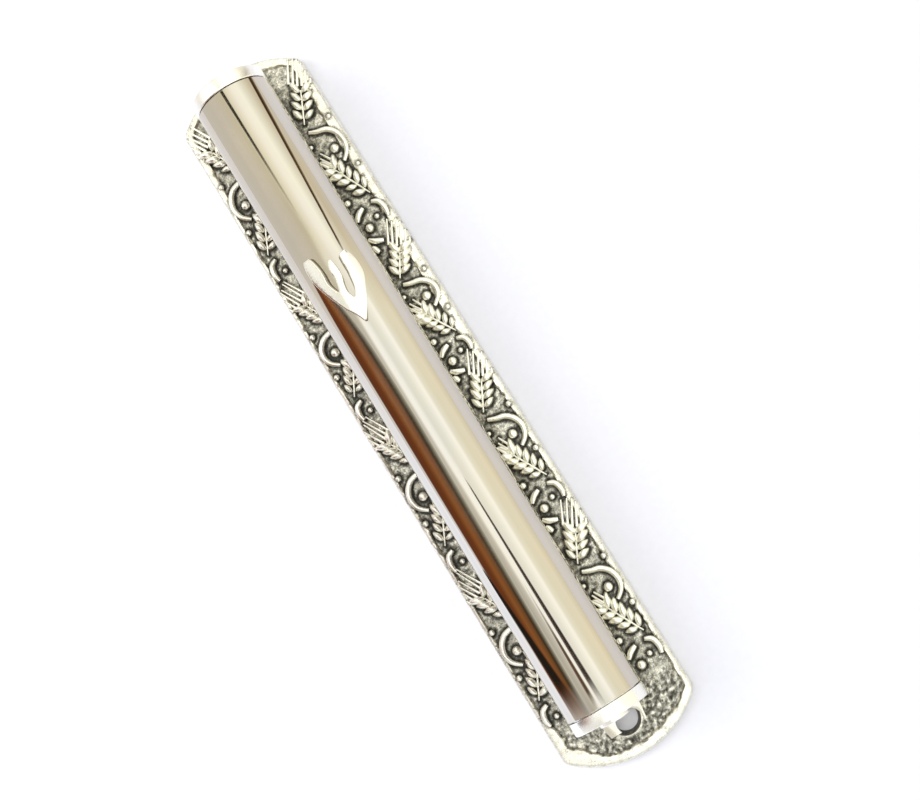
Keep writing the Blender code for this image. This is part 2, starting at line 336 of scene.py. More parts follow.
def curve_through(points: Sequence[Sequence[float]], between: int) -> list[tuple[float, ...]]:
    """Points on one smooth curve through the given ones.

    Args:
        points: Points of any number of values.
        between: Steps from each point to the next.

    Returns:
        The points of the curve, the given ones among them.
    """
    padded = [points[0], *points, points[-1]]
    found = []
    for before, start, end, after in zip(padded, padded[1:], padded[2:], padded[3:]):
        for step in range(between):
            t = step / between
            weights = (
                -t + 2 * t**2 - t**3,
                2 - 5 * t**2 + 3 * t**3,
                t + 4 * t**2 - 3 * t**3,
                t**3 - t**2,
            )
            found.append(
                tuple(
                    sum(w * v for w, v in zip(weights, values)) / 2
                    for values in zip(before, start, end, after)
                )
            )
    return [*found, tuple(points[-1])]


def ease(low: float, high: float, value: float) -> float:
    """Smooth step from 0 to 1.

    Args:
        low: Value that gives 0.
        high: Value that gives 1.
        value: The value to ease.

    Returns:
        A number from 0 to 1.
    """
    t = min(1.0, max(0.0, (value - low) / (high - low)))
    return t * t * (3 - 2 * t)


# ---------------------------------------------------------------------------------------------
# Finishes
# ---------------------------------------------------------------------------------------------


class Bench:
    """Node tree of one material, with short calls for the nodes that the finishes use."""

    def __init__(self, name: str) -> None:
        """Start a material with a Principled shader.

        Args:
            name: Name of the material.
        """
        self.material = bpy.data.materials.new(name)
        self.material.use_nodes = True
        self.tree = self.material.node_tree
        self.shader = self.tree.nodes["Principled BSDF"]
        coordinates = self.tree.nodes.new("ShaderNodeTexCoord")
        self.place = coordinates.outputs["Object"]
        self.flat = coordinates.outputs["UV"]

    def set(self, **values: object) -> None:
        """Set the shader's own sockets; an underscore in a name stands for a space."""
        for key, value in values.items():
            self.shader.inputs[key.replace("_", " ")].default_value = value

    def feed(self, socket: str, source: bpy.types.NodeSocket) -> None:
        """Link a pattern to one of the shader's sockets."""
        self.tree.links.new(source, self.shader.inputs[socket])

    def attribute(self, name: str) -> bpy.types.NodeSocket:
        """Value that the piece's mesh carries.

        Args:
            name: Name of the attribute.

        Returns:
            Its value.
        """
        node = self.tree.nodes.new("ShaderNodeAttribute")
        node.attribute_name = name
        return node.outputs["Fac"]

    def stretched(
        self, scale: Sequence[float], origin: Sequence[float] = (0, 0, 0)
    ) -> bpy.types.NodeSocket:
        """Object coordinates measured from an origin and scaled along each axis.

        Args:
            scale: Factor along each axis.
            origin: The place that becomes zero.

        Returns:
            The new coordinates.
        """
        node = self.tree.nodes.new("ShaderNodeMapping")
        node.vector_type = "POINT"
        node.inputs["Scale"].default_value = scale
        node.inputs["Location"].default_value = [-s * o for s, o in zip(scale, origin)]
        self.tree.links.new(self.place, node.inputs["Vector"])
        return node.outputs["Vector"]

    def noise(
        self, scale: float, detail: float = 2.0, rough: float = 0.5, at: bpy.types.NodeSocket | None = None
    ) -> bpy.types.NodeSocket:
        """Noise from 0 to 1, on Object coordinates unless told otherwise.

        Args:
            scale: Cells to a metre, or to a unit of the coordinates given.
            detail: Finer layers.
            rough: Weight of the finer layers.
            at: Other coordinates.

        Returns:
            The noise.
        """
        node = self.tree.nodes.new("ShaderNodeTexNoise")
        node.inputs["Scale"].default_value = scale
        node.inputs["Detail"].default_value = detail
        node.inputs["Roughness"].default_value = rough
        self.tree.links.new(at or self.place, node.inputs["Vector"])
        return node.outputs["Fac"]

    def split(self, at: bpy.types.NodeSocket | None = None) -> list[bpy.types.NodeSocket]:
        """X, Y and Z of a vector, Object coordinates unless told otherwise.

        Args:
            at: Other coordinates.

        Returns:
            The three values.
        """
        node = self.tree.nodes.new("ShaderNodeSeparateXYZ")
        self.tree.links.new(at or self.place, node.inputs["Vector"])
        return [node.outputs["X"], node.outputs["Y"], node.outputs["Z"]]

    def ranged(
        self, source: bpy.types.NodeSocket, low: float, high: float, to_low: float = 0, to_high: float = 1
    ) -> bpy.types.NodeSocket:
        """A value moved from one range to another, and held inside it.

        Args:
            source: The value.
            low: Its lower limit.
            high: Its upper limit.
            to_low: Result at the lower limit.
            to_high: Result at the upper limit.

        Returns:
            The moved value.
        """
        node = self.tree.nodes.new("ShaderNodeMapRange")
        for key, value in (("From Min", low), ("From Max", high), ("To Min", to_low), ("To Max", to_high)):
            node.inputs[key].default_value = value
        self.tree.links.new(source, node.inputs["Value"])
        return node.outputs["Result"]

    def math(
        self, operation: str, first: bpy.types.NodeSocket, second: bpy.types.NodeSocket | float = 0.0
    ) -> bpy.types.NodeSocket:
        """One arithmetic step.

        Args:
            operation: Blender's name for it.
            first: The first value.
            second: The other value or number.

        Returns:
            The result.
        """
        node = self.tree.nodes.new("ShaderNodeMath")
        node.operation = operation
        self.tree.links.new(first, node.inputs[0])
        if isinstance(second, float):
            node.inputs[1].default_value = second
        else:
            self.tree.links.new(second, node.inputs[1])
        return node.outputs[0]

    def ramp(
        self, source: bpy.types.NodeSocket, stops: Sequence[tuple[float, Colour]]
    ) -> bpy.types.NodeSocket:
        """Colour that follows a value.

        Args:
            source: The value.
            stops: Places along it with their colours.

        Returns:
            The colour.
        """
        node = self.tree.nodes.new("ShaderNodeValToRGB")
        elements = node.color_ramp.elements
        while len(elements) < len(stops):
            elements.new(0.5)
        for element, (position, colour) in zip(elements, stops):
            element.position = position
            element.color = (*colour, 1.0)
        self.tree.links.new(source, node.inputs["Fac"])
        return node.outputs["Color"]

    def bump(self, source: bpy.types.NodeSocket, depth: float, strength: float = 1.0) -> None:
        """Surface relief of a depth in metres, added over any bump that is there.

        Args:
            source: The height pattern.
            depth: Depth in metres.
            strength: Share of it that shows.
        """
        node = self.tree.nodes.new("ShaderNodeBump")
        node.inputs["Distance"].default_value = depth
        node.inputs["Strength"].default_value = strength
        self.tree.links.new(source, node.inputs["Height"])
        normal = self.shader.inputs["Normal"]
        if normal.is_linked:
            self.tree.links.new(normal.links[0].from_socket, node.inputs["Normal"])
        self.tree.links.new(node.outputs["Normal"], normal)


@dataclass(frozen=True)
class AntiquePewter:
    """Cast pewter, bright where a thumb reaches and blackened in the recesses."""

    black: Colour = (0.030, 0.030, 0.022)
    smoke: Colour = (0.13, 0.125, 0.105)
    grey: Colour = (0.36, 0.35, 0.30)
    pale: Colour = (0.78, 0.76, 0.67)
    bright: Colour = (0.95, 0.94, 0.87)

    def material(self, name: str) -> bpy.types.Material:
        """The mesh says how bare the metal is and carries painted shade beside the tube, and noise breaks up
        the patina.

        Args:
            name: Name of the material.

        Returns:
            The finished material.
        """
        bench = Bench(name)
        patches = bench.ranged(bench.noise(700.0, 3.0, 0.6), 0.3, 0.7, -0.13, 0.13)
        specks = bench.ranged(bench.noise(3600.0, 2.0, 0.6), 0.3, 0.7, -0.15, 0.15)
        # Tone from the mesh: patina and wear, with the painted shade beside the tube darkening the ground.
        tone_and_painted_shade = bench.math("ADD", bench.math("ADD", bench.attribute(WEAR_AND_SHADE), patches), specks)
        stops = [
            (0.04, self.black),
            (0.28, self.smoke),
            (0.50, self.grey),
            (0.72, self.pale),
            (0.92, self.bright),
        ]
        bench.feed("Base Color", bench.ramp(tone_and_painted_shade, stops))
        bench.feed("Roughness", bench.ranged(tone_and_painted_shade, 0.1, 0.9, 0.62, 0.30))
        bench.feed("Metallic", bench.ranged(tone_and_painted_shade, 0.0, 0.5, 0.6, 1.0))
        bench.bump(bench.noise(1700.0, 4.0, 0.6), 0.09 * MM, 0.55)
        bench.bump(bench.noise(260.0, 2.0), 0.25 * MM, 0.45)
        return bench.material


@dataclass(frozen=True)
class PolishedNickel:
    """Drawn and polished tube with very faint lengthwise lines."""

    colour: Colour = (0.60, 0.56, 0.50)
    warm: Colour = (0.62, 0.57, 0.48)
    rough_low: float = 0.030
    rough_high: float = 0.060

    def material(self, name: str, axis_z: float) -> bpy.types.Material:
        """Fine draw lines and a few soft smears.

        Args:
            name: Name of the material.
            axis_z: Height of the tube's axis.

        Returns:
            The finished material.
        """
        bench = Bench(name)
        drawn = bench.stretched((2600.0, 9.0, 2600.0), (0, 0, axis_z))
        lines = bench.noise(1.0, 2.0, 0.6, drawn)
        smears = bench.noise(60.0, 3.0, 0.6)
        bench.feed("Base Color", bench.ramp(smears, [(0.35, self.colour), (0.7, self.warm)]))
        smeared = bench.ranged(smears, 0.35, 0.7, self.rough_low, self.rough_high)
        bench.feed("Roughness", bench.math("ADD", bench.ranged(lines, 0.3, 0.7, 0.0, 0.02), smeared))
        bench.set(Metallic=1.0)
        bench.bump(lines, 0.004 * MM, 0.2)
        return bench.material


@dataclass(frozen=True)
class TurnedSilver:
    """Bright turned silver plate with faint rings from the lathe."""

    colour: Colour = (0.95, 0.94, 0.90)
    tarnish: Colour = (0.86, 0.84, 0.78)

    def material(self, name: str, centre: Vector) -> bpy.types.Material:
        """Rings about an axis along Y.

        Args:
            name: Name of the material.
            centre: A point on the axis.

        Returns:
            The finished material.
        """
        bench = Bench(name)
        across, _, up = bench.split(bench.stretched((1, 1, 1), centre))
        squares = bench.math("ADD", bench.math("MULTIPLY", across, across), bench.math("MULTIPLY", up, up))
        radius = bench.math("SQRT", squares)
        rings = bench.math("SINE", bench.math("MULTIPLY", radius, 2 * math.pi / (0.16 * MM)))
        haze = bench.noise(220.0, 3.0, 0.6)
        bench.feed("Base Color", bench.ramp(haze, [(0.4, self.colour), (0.75, self.tarnish)]))
        bench.feed("Roughness", bench.ranged(haze, 0.35, 0.7, 0.24, 0.34))
        bench.set(Metallic=1.0)
        bench.bump(rings, 0.003 * MM, 0.35)
        bench.bump(haze, 0.02 * MM, 0.2)
        return bench.material


@dataclass(frozen=True)
class CastSilver:
    """Softly polished warm casting of the rail."""

    colour: Colour = (0.85, 0.81, 0.72)
    shade: Colour = (0.72, 0.68, 0.58)
    rough_low: float = 0.14
    rough_high: float = 0.26

    def material(self, name: str) -> bpy.types.Material:
        """Fine cast grain under the polish.

        Args:
            name: Name of the material.

        Returns:
            The finished material.
        """
        bench = Bench(name)
        grain = bench.noise(1400.0, 3.0, 0.55)
        clouds = bench.noise(300.0, 3.0, 0.6)
        bench.feed("Base Color", bench.ramp(clouds, [(0.4, self.colour), (0.75, self.shade)]))
        bench.feed("Roughness", bench.ranged(clouds, 0.3, 0.7, self.rough_low, self.rough_high))
        bench.set(Metallic=1.0)
        bench.bump(grain, 0.02 * MM, 0.35)
        bench.bump(clouds, 0.08 * MM, 0.3)
        return bench.material


@dataclass(frozen=True)
class EmblemSilver:
    """Polished silver casting, with painted shade darkening it where it meets the tube."""

    # Darkest stop: painted shade colour at the foot, where the casting meets the tube.
    tarnish: Colour = (0.16, 0.13, 0.085)
    warm: Colour = (0.60, 0.56, 0.44)
    silver: Colour = (0.88, 0.87, 0.81)

    def material(self, name: str) -> bpy.types.Material:
        """The mesh carries the painted shade at the casting's foot, and soft clouds shift it.

        Args:
            name: Name of the material.

        Returns:
            The finished material.
        """
        bench = Bench(name)
        clouds = bench.noise(420.0, 3.0, 0.6)
        tone_and_painted_shade = bench.math("ADD", bench.attribute(WEAR_AND_SHADE), bench.ranged(clouds, 0.3, 0.7, -0.12, 0.12))
        stops = [(0.15, self.tarnish), (0.5, self.warm), (0.8, self.silver)]
        bench.feed("Base Color", bench.ramp(tone_and_painted_shade, stops))
        bench.feed("Roughness", bench.ranged(tone_and_painted_shade, 0.2, 0.9, 0.34, 0.13))
        bench.set(Metallic=1.0)
        bench.bump(bench.noise(1400.0, 3.0, 0.55), 0.015 * MM, 0.3)
        bench.bump(clouds, 0.08 * MM, 0.35)
        return bench.material


@dataclass(frozen=True)
class DullAluminium:
    """Plain rivet metal, rolled and slightly scuffed."""

    colour: Colour = (0.74, 0.75, 0.76)
    scuffed: Colour = (0.58, 0.59, 0.60)

    def material(self, name: str) -> bpy.types.Material:
        """Scuffs in colour, roughness and relief.

        Args:
            name: Name of the material.

        Returns:
            The finished material.
        """
        bench = Bench(name)
        scuffs = bench.noise(1800.0, 4.0, 0.65)
        bench.feed("Base Color", bench.ramp(scuffs, [(0.4, self.colour), (0.7, self.scuffed)]))
        bench.feed("Roughness", bench.ranged(scuffs, 0.3, 0.7, 0.3, 0.5))
        bench.set(Metallic=1.0)
        bench.bump(scuffs, 0.03 * MM, 0.5)
        return bench.material


@dataclass(frozen=True)
class RingRubber:
    """Matt black rubber with a little dust."""

    black: Colour = (0.018, 0.018, 0.018)
    dusty: Colour = (0.06, 0.06, 0.058)

    def material(self, name: str) -> bpy.types.Material:
        """Dust in the colour and a fine pebble in the surface.

        Args:
            name: Name of the material.

        Returns:
            The finished material.
        """
        bench = Bench(name)
        dust = bench.noise(900.0, 4.0, 0.6)
        bench.feed("Base Color", bench.ramp(dust, [(0.45, self.black), (0.8, self.dusty)]))
        bench.feed("Roughness", bench.ranged(dust, 0.3, 0.7, 0.5, 0.7))
        bench.bump(bench.noise(4000.0, 2.0), 0.02 * MM, 0.6)
        return bench.material


@dataclass(frozen=True)
class ClearFilm:
    """Thin clear film with faint creases."""

    colour: Colour = (0.90, 0.93, 0.95)

    def material(self, name: str) -> bpy.types.Material:
        """Creases run along the film, and let a little less light through.

        Args:
            name: Name of the material.

        Returns:
            The finished material.
        """
        bench = Bench(name)
        creases = bench.noise(1.0, 3.0, 0.6, bench.stretched((900.0, 60.0, 900.0)))
        bench.feed("Base Color", bench.ramp(creases, [(0.4, self.colour), (0.8, (0.8, 0.84, 0.86))]))
        bench.feed("Roughness", bench.ranged(creases, 0.3, 0.7, 0.08, 0.22))
        bench.feed("Alpha", bench.ranged(creases, 0.35, 0.75, 0.07, 0.22))
        bench.bump(creases, 0.05 * MM, 0.4)
        return bench.material


@dataclass(frozen=True)
class Parchment:
    """Cream parchment with fibres and mottling."""

    cream: Colour = (0.80, 0.69, 0.47)
    tan: Colour = (0.62, 0.47, 0.27)

    def material(self, name: str) -> bpy.types.Material:
        """Fibres and mottling of the skin.

        Args:
            name: Name of the material.

        Returns:
            The finished material.
        """
        bench = Bench(name)
        mottle = bench.noise(160.0, 5.0, 0.6)
        fibres = bench.noise(1.0, 4.0, 0.6, bench.stretched((2500.0, 350.0, 2500.0)))
        bench.feed("Base Color", bench.ramp(mottle, [(0.35, self.cream), (0.8, self.tan)]))
        bench.feed("Roughness", bench.ranged(fibres, 0.3, 0.7, 0.55, 0.8))
        bench.bump(fibres, 0.04 * MM, 0.6)
        return bench.material


@dataclass(frozen=True)
class Paper:
    """Pale seamless paper that the case lies on."""

    colour: Colour = (0.90, 0.90, 0.92)

    def material(self, name: str) -> bpy.types.Material:
        """A trace of tooth, too fine to draw the eye.

        Args:
            name: Name of the material.

        Returns:
            The finished material.
        """
        bench = Bench(name)
        tooth = bench.noise(700.0, 2.0)
        lighter = tuple(min(1.0, value * 1.02) for value in self.colour)
        bench.feed("Base Color", bench.ramp(tooth, [(0.3, self.colour), (0.7, lighter)]))
        bench.set(Roughness=0.9)
        return bench.material


# ---------------------------------------------------------------------------------------------
# Backplate casting
# ---------------------------------------------------------------------------------------------


@dataclass
class PlateShape:
    """Plan of the backplate: a rectangle whose two ends bow outwards."""

    half_width: float
    half_length: float
    end_rise: float = 6.2 * MM
    corner: float = 1.2 * MM

    @property
    def end_radius(self) -> float:
        """Radius of the arc at each end."""
        return (self.half_width**2 + self.end_rise**2) / (2 * self.end_rise)

    def end_y(self, x: float) -> float:
        """Distance of the end's edge from the middle of the plate.

        Args:
            x: Place across the plate.

        Returns:
            The edge's distance along Y.
        """
        across = min(abs(x), self.half_width)
        reach = self.half_length - self.end_radius + math.sqrt(self.end_radius**2 - across**2)
        into_corner = max(0.0, across - (self.half_width - self.corner)) / self.corner
        return reach - 0.6 * self.corner * (1 - math.sqrt(max(0.0, 1 - into_corner**2)))

    def edge_distances(self, x: float, y: float) -> Point2:
        """Distances to the nearest side and to the nearest end."""
        return self.half_width - abs(x), self.end_y(x) - abs(y)


@dataclass
class BackplateCasting:
    """The plate itself, with its rim, its stippled ground and its holes."""

    shape: PlateShape
    hole_y: Sequence[float] = SCREW_HOLES
    rivet_y: Sequence[float] = ()
    ground: float = 1.8 * MM
    rim_top: float = 2.6 * MM
    side_rim: float = 1.0 * MM
    broad_side_rim: float = 2.4 * MM
    end_rim: float = 2.2 * MM
    right_rim_extra: float = 0.35 * MM
    low_left_extra: float = 2.2 * MM
    side_waver: Point2 = (0.30 * MM, 0.25 * MM)  # slow and fine
    end_waver: Point2 = (0.50 * MM, 0.35 * MM)
    rim_soft: float = 0.22 * MM
    edge_round: float = 0.8 * MM
    bed_half_width: float = 5.3 * MM
    bed_top: float = 2.13 * MM
    hole_top_radius: float = 3.3 * MM
    hole_back_radius: float = 2.7 * MM
    sink_radius: float = 2.6 * MM
    sink_depth: float = 0.9 * MM
    columns: int = 108
    rows: int = 590
    pebble_from_y: float = -72.5 * MM
    ground_bare: float = 0.46
    right_paler: float = 0.07
    rim_bare: float = 0.76
    lip_bare: float = 0.68
    hole_bare: float = 0.30
    edge_bare: float = 0.85
    crevice_below: float = 2.3 * MM
    crevice_reach: float = 0.85 * MM
    crevice_dark: float = 0.48
    # Strength of the painted shade on the ground beside and under the tube.
    painted_shade_strength: float = 0.16
    groove_reach: float = 0.42 * MM
    groove_dark: float = 0.36

    def end_share(self, y: float) -> float:
        """How far a spot belongs to the pebbled bottom end, from 0 to 1."""
        return ease(self.pebble_from_y, self.pebble_from_y - 1.5 * MM, y)

    def from_hole(self, x: float, y: float) -> float:
        """Distance to the middle of the nearest screw hole."""
        return min(math.hypot(x, y - hole) for hole in self.hole_y)

    def stipple(self, x: float, y: float) -> float:
        """Height of the punched ground over its own level.

        Args:
            x: Place across the plate.
            y: Place along the plate.

        Returns:
            The height in metres, on either side of zero.
        """
        fine = noise.noise(Vector((x, y, 0)) * 2100)
        coarse = noise.noise(Vector((y, x, 3)) * 900)
        punched = 0.14 * MM * fine + 0.08 * MM * coarse
        at_end = self.end_share(y)
        pebbles = noise.cell(Vector((x, y, 0)) * 1400) * 0.08 + noise.noise(Vector((x, y, 9)) * 1500) * 0.24
        return punched * (1 - at_end) + at_end * pebbles * MM

    def rim_share(self, x: float, y: float) -> float:
        """How far a spot belongs to the raised rim, from 0 to 1.

        Args:
            x: Place across the plate.
            y: Place along the plate.

        Returns:
            The share.
        """
        to_side, to_end = self.shape.edge_distances(x, y)
        waver = noise.noise(Vector((x, y, 5)) * 330)
        ragged = noise.noise(Vector((x, y, 7)) * 1100)
        broad = ease(-10 * MM, 12 * MM, y) if x > 0 else 0.5 * ease(55 * MM, 66 * MM, y)
        if x < 0:
            broad = max(broad, ease(-68 * MM, -73 * MM, y))
        side = self.side_rim + (self.broad_side_rim - self.side_rim) * broad
        if x > 0:
            side += self.right_rim_extra * (1 - broad)
        side += self.side_waver[0] * waver + self.side_waver[1] * ragged
        end = self.end_rim + self.end_waver[0] * waver + self.end_waver[1] * ragged
        if y < 0:
            end += self.low_left_extra * ease(-6 * MM, -12 * MM, x)
        soft = self.rim_soft
        return max(1 - ease(side - soft, side + soft, to_side), 1 - ease(end - soft, end + soft, to_end))

    def lip_share(self, x: float, y: float) -> float:
        """How far a spot belongs to the raised ring of a screw hole, from 0 to 1."""
        return 1 - ease(0.45 * MM, 0.9 * MM, self.from_hole(x, y) - self.hole_top_radius)

    def height(self, x: float, y: float) -> float:
        """Height of the face over the back at one spot of the plan.

        Args:
            x: Place across the plate.
            y: Place along the plate.

        Returns:
            The height in metres.
        """
        low = self.ground + self.stipple(x, y)
        if abs(y) < abs(self.hole_y[0]) - self.hole_top_radius:
            bed = 1 - ease(self.bed_half_width, self.bed_half_width + 0.4 * MM, abs(x))
            low += (self.bed_top - low) * bed
        low += (self.ground + 0.30 * MM - low) * self.lip_share(x, y)
        swell = noise.noise(Vector((x, y, 11)) * 260)
        top = self.rim_top + 0.07 * MM * (swell - 0.8)
        found = low + (top - low) * self.rim_share(x, y)
        edge = min(self.shape.edge_distances(x, y))
        if edge < self.edge_round:
            inward = 1 - max(0.0, edge) / self.edge_round
            found -= self.edge_round * (1 - math.sqrt(max(0.0, 1 - inward**2)))
        return found

    def paint(self, plate: bpy.types.Object, relief: bpy.types.Object) -> None:
        """Store how bare each spot is: rim and edges bright, ground grey, crevices black, and the ground
        beside the tube darkened as painted shade.

        Args:
            plate: The plate.
            relief: The ornament, whose foot is blackened.
        """
        foot = [vert.co for vert in relief.data.vertices if vert.co.z < self.crevice_below]
        tree = kdtree.KDTree(len(foot))
        for index, place in enumerate(foot):
            tree.insert((place.x, place.y, 0), index)
        tree.balance()
        layer = plate.data.attributes.new(WEAR_AND_SHADE, "FLOAT", "POINT")
        for vert, item in zip(plate.data.vertices, layer.data):
            x, y, z = vert.co
            if self.from_hole(x, y) < self.hole_top_radius + 0.1 * MM:
                item.value = self.hole_bare
            elif z < 0.6 * self.ground:
                item.value = self.edge_bare
            else:
                grain = self.stipple(x, y) / (0.14 * MM)
                distance = tree.find((x, y, 0))[2]
                crevice = 1 - ease(0.1 * MM, self.crevice_reach, distance)
                at_end = self.end_share(y)
                # Painted shade: the ground beside and under the tube is darkened where the tube's shadow
                # falls.
                painted_shade_by_tube = 1 - ease(7.0 * MM, 8.8 * MM, abs(x))
                bare = self.ground_bare - 0.05 * at_end + (0.2 + 0.06 * at_end) * grain
                bare -= self.crevice_dark * crevice + self.painted_shade_strength * painted_shade_by_tube * (1 - at_end)
                bare += self.right_paler * ease(0.0, 8.0 * MM, x) * (1 - at_end)
                bare += (self.lip_bare - bare) * self.lip_share(x, y)
                rim = self.rim_share(x, y)
                groove = 1 - ease(0.05 * MM, self.groove_reach, distance)
                item.value = bare + (self.rim_bare - bare) * rim - self.groove_dark * rim * groove

    def face(self) -> bpy.types.Object:
        """A fine grid shaped to the plan and raised to the casting's heights.

        Returns:
            The open sheet.
        """
        deselect()
        bpy.ops.mesh.primitive_grid_add(x_subdivisions=self.columns, y_subdivisions=self.rows, size=2)
        plate = named("backplate_casting")
        for vert in plate.data.vertices:
            x = vert.co.x * self.shape.half_width
            y = vert.co.y * self.shape.end_y(x)
            vert.co = (x, y, self.height(x, y))
        return plate

    def close_back(self, plate: bpy.types.Object) -> None:
        """Drop the outline to the back and close it with a flat face.

        Args:
            plate: The open sheet.
        """
        activate(plate)
        bpy.ops.object.mode_set(mode="EDIT")
        bpy.ops.mesh.select_all(action="SELECT")
        bpy.ops.mesh.region_to_loop()
        back_bevel = 0.25 * MM
        for level, inset in ((back_bevel, 0.0), (0.0, back_bevel)):
            bpy.ops.mesh.extrude_edges_move(TRANSFORM_OT_translate={"value": (0, 0, 0)})
            mesh = bmesh.from_edit_mesh(plate.data)
            for vert in mesh.verts:
                if vert.select:
                    scale_x = 1 - inset / self.shape.half_width
                    scale_y = 1 - inset / self.shape.half_length
                    vert.co = (vert.co.x * scale_x, vert.co.y * scale_y, level)
            bmesh.update_edit_mesh(plate.data)
        bpy.ops.mesh.edge_face_add()
        bpy.ops.mesh.select_all(action="SELECT")
        bpy.ops.mesh.normals_make_consistent(inside=False)
        bpy.ops.object.mode_set(mode="OBJECT")

    def cutters(self) -> list[bpy.types.Object]:
        """Flared screw holes and stepped rivet holes.

        Returns:
            Closed solids to subtract.
        """
        found = []
        flare = self.hole_top_radius - self.hole_back_radius
        past = 1.0 * MM
        slope = flare / self.ground
        for index, y in enumerate(self.hole_y):
            profile = [
                (self.hole_back_radius - slope * past, -past),
                (self.hole_top_radius, self.ground),
                (self.hole_top_radius + 0.25 * MM, self.ground + 0.25 * MM),
                (self.hole_top_radius + 0.25 * MM, self.rim_top + past),
            ]
            hole = turned(f"screw_hole_{index}", profile, 64)
            found.append(put(hole, Matrix.Translation((0, y, 0))))
        for index, y in enumerate(self.rivet_y):
            sink = turned(
                f"rivet_hole_{index}",
                [
                    (self.sink_radius, -past),
                    (self.sink_radius, self.sink_depth),
                    (RIVET_WAY, self.sink_depth),
                    (RIVET_WAY, self.rim_top + past),
                ],
                48,
            )
            found.append(put(sink, Matrix.Translation((0, y, 0))))
        return found

    def build(self, finish: bpy.types.Material, relief: bpy.types.Object) -> bpy.types.Object:
        """Make the whole plate.

        Args:
            finish: The pewter material.
            relief: The ornament, whose foot is blackened.

        Returns:
            The plate.
        """
        plate = self.face()
        self.close_back(plate)
        cut_away(plate, self.cutters())
        self.paint(plate, relief)
        smooth(plate, 50)
        return mount(plate, finish, Body.CASE, "antique_pewter", "backplate")


# ---------------------------------------------------------------------------------------------
# Grain, vine and bead relief
# ---------------------------------------------------------------------------------------------


@dataclass(frozen=True)
class Ear:
    """One ear of grain: kernels in pairs below a fan of awns, all in millimetres."""

    start: Point2
    towards: Point2
    pairs: int
    awns: int
    awn_length: float


@dataclass(frozen=True)
class OrnamentUnit:
    """One repeat of the ornament on the right strip, in millimetres from the middle of its awns."""

    length: float = 37.5
    ears: tuple[Ear, ...] = (
        Ear(start=(12.0, -2.9), towards=(-0.47, -0.88), pairs=4, awns=6, awn_length=5.8),
        Ear(start=(9.0, -19.6), towards=(0.46, -0.89), pairs=5, awns=4, awn_length=2.8),
    )
    vines: tuple[tuple[Point2, ...], ...] = (
        (
            (8.6, -10.9),
            (10.2, -11.6),
            (12.2, -12.2),
            (13.7, -13.7),
            (14.3, -15.8),
            (13.7, -17.9),
            (12.0, -19.4),
        ),
        ((7.3, -31.0), (8.3, -29.9), (9.9, -29.2)),
        ((12.2, -29.0), (13.6, -29.8), (14.1, -31.6), (13.8, -33.2)),
        ((7.2, -17.2), (8.3, -18.0), (9.2, -19.2)),
        ((7.2, -36.6), (8.0, -38.2)),
        ((7.3, -35.0), (8.4, -35.9), (10.2, -36.6)),
    )
    beads: tuple[tuple[float, float, float], ...] = (
        (11.6, -16.3, 1.05),
        (8.9, -33.2, 1.0),
        (14.2, -10.4, 0.7),
        (14.2, -21.4, 0.7),
        (7.6, -26.8, 0.75),
        (11.6, -32.0, 0.6),
        (7.3, -13.6, 0.5),
    )


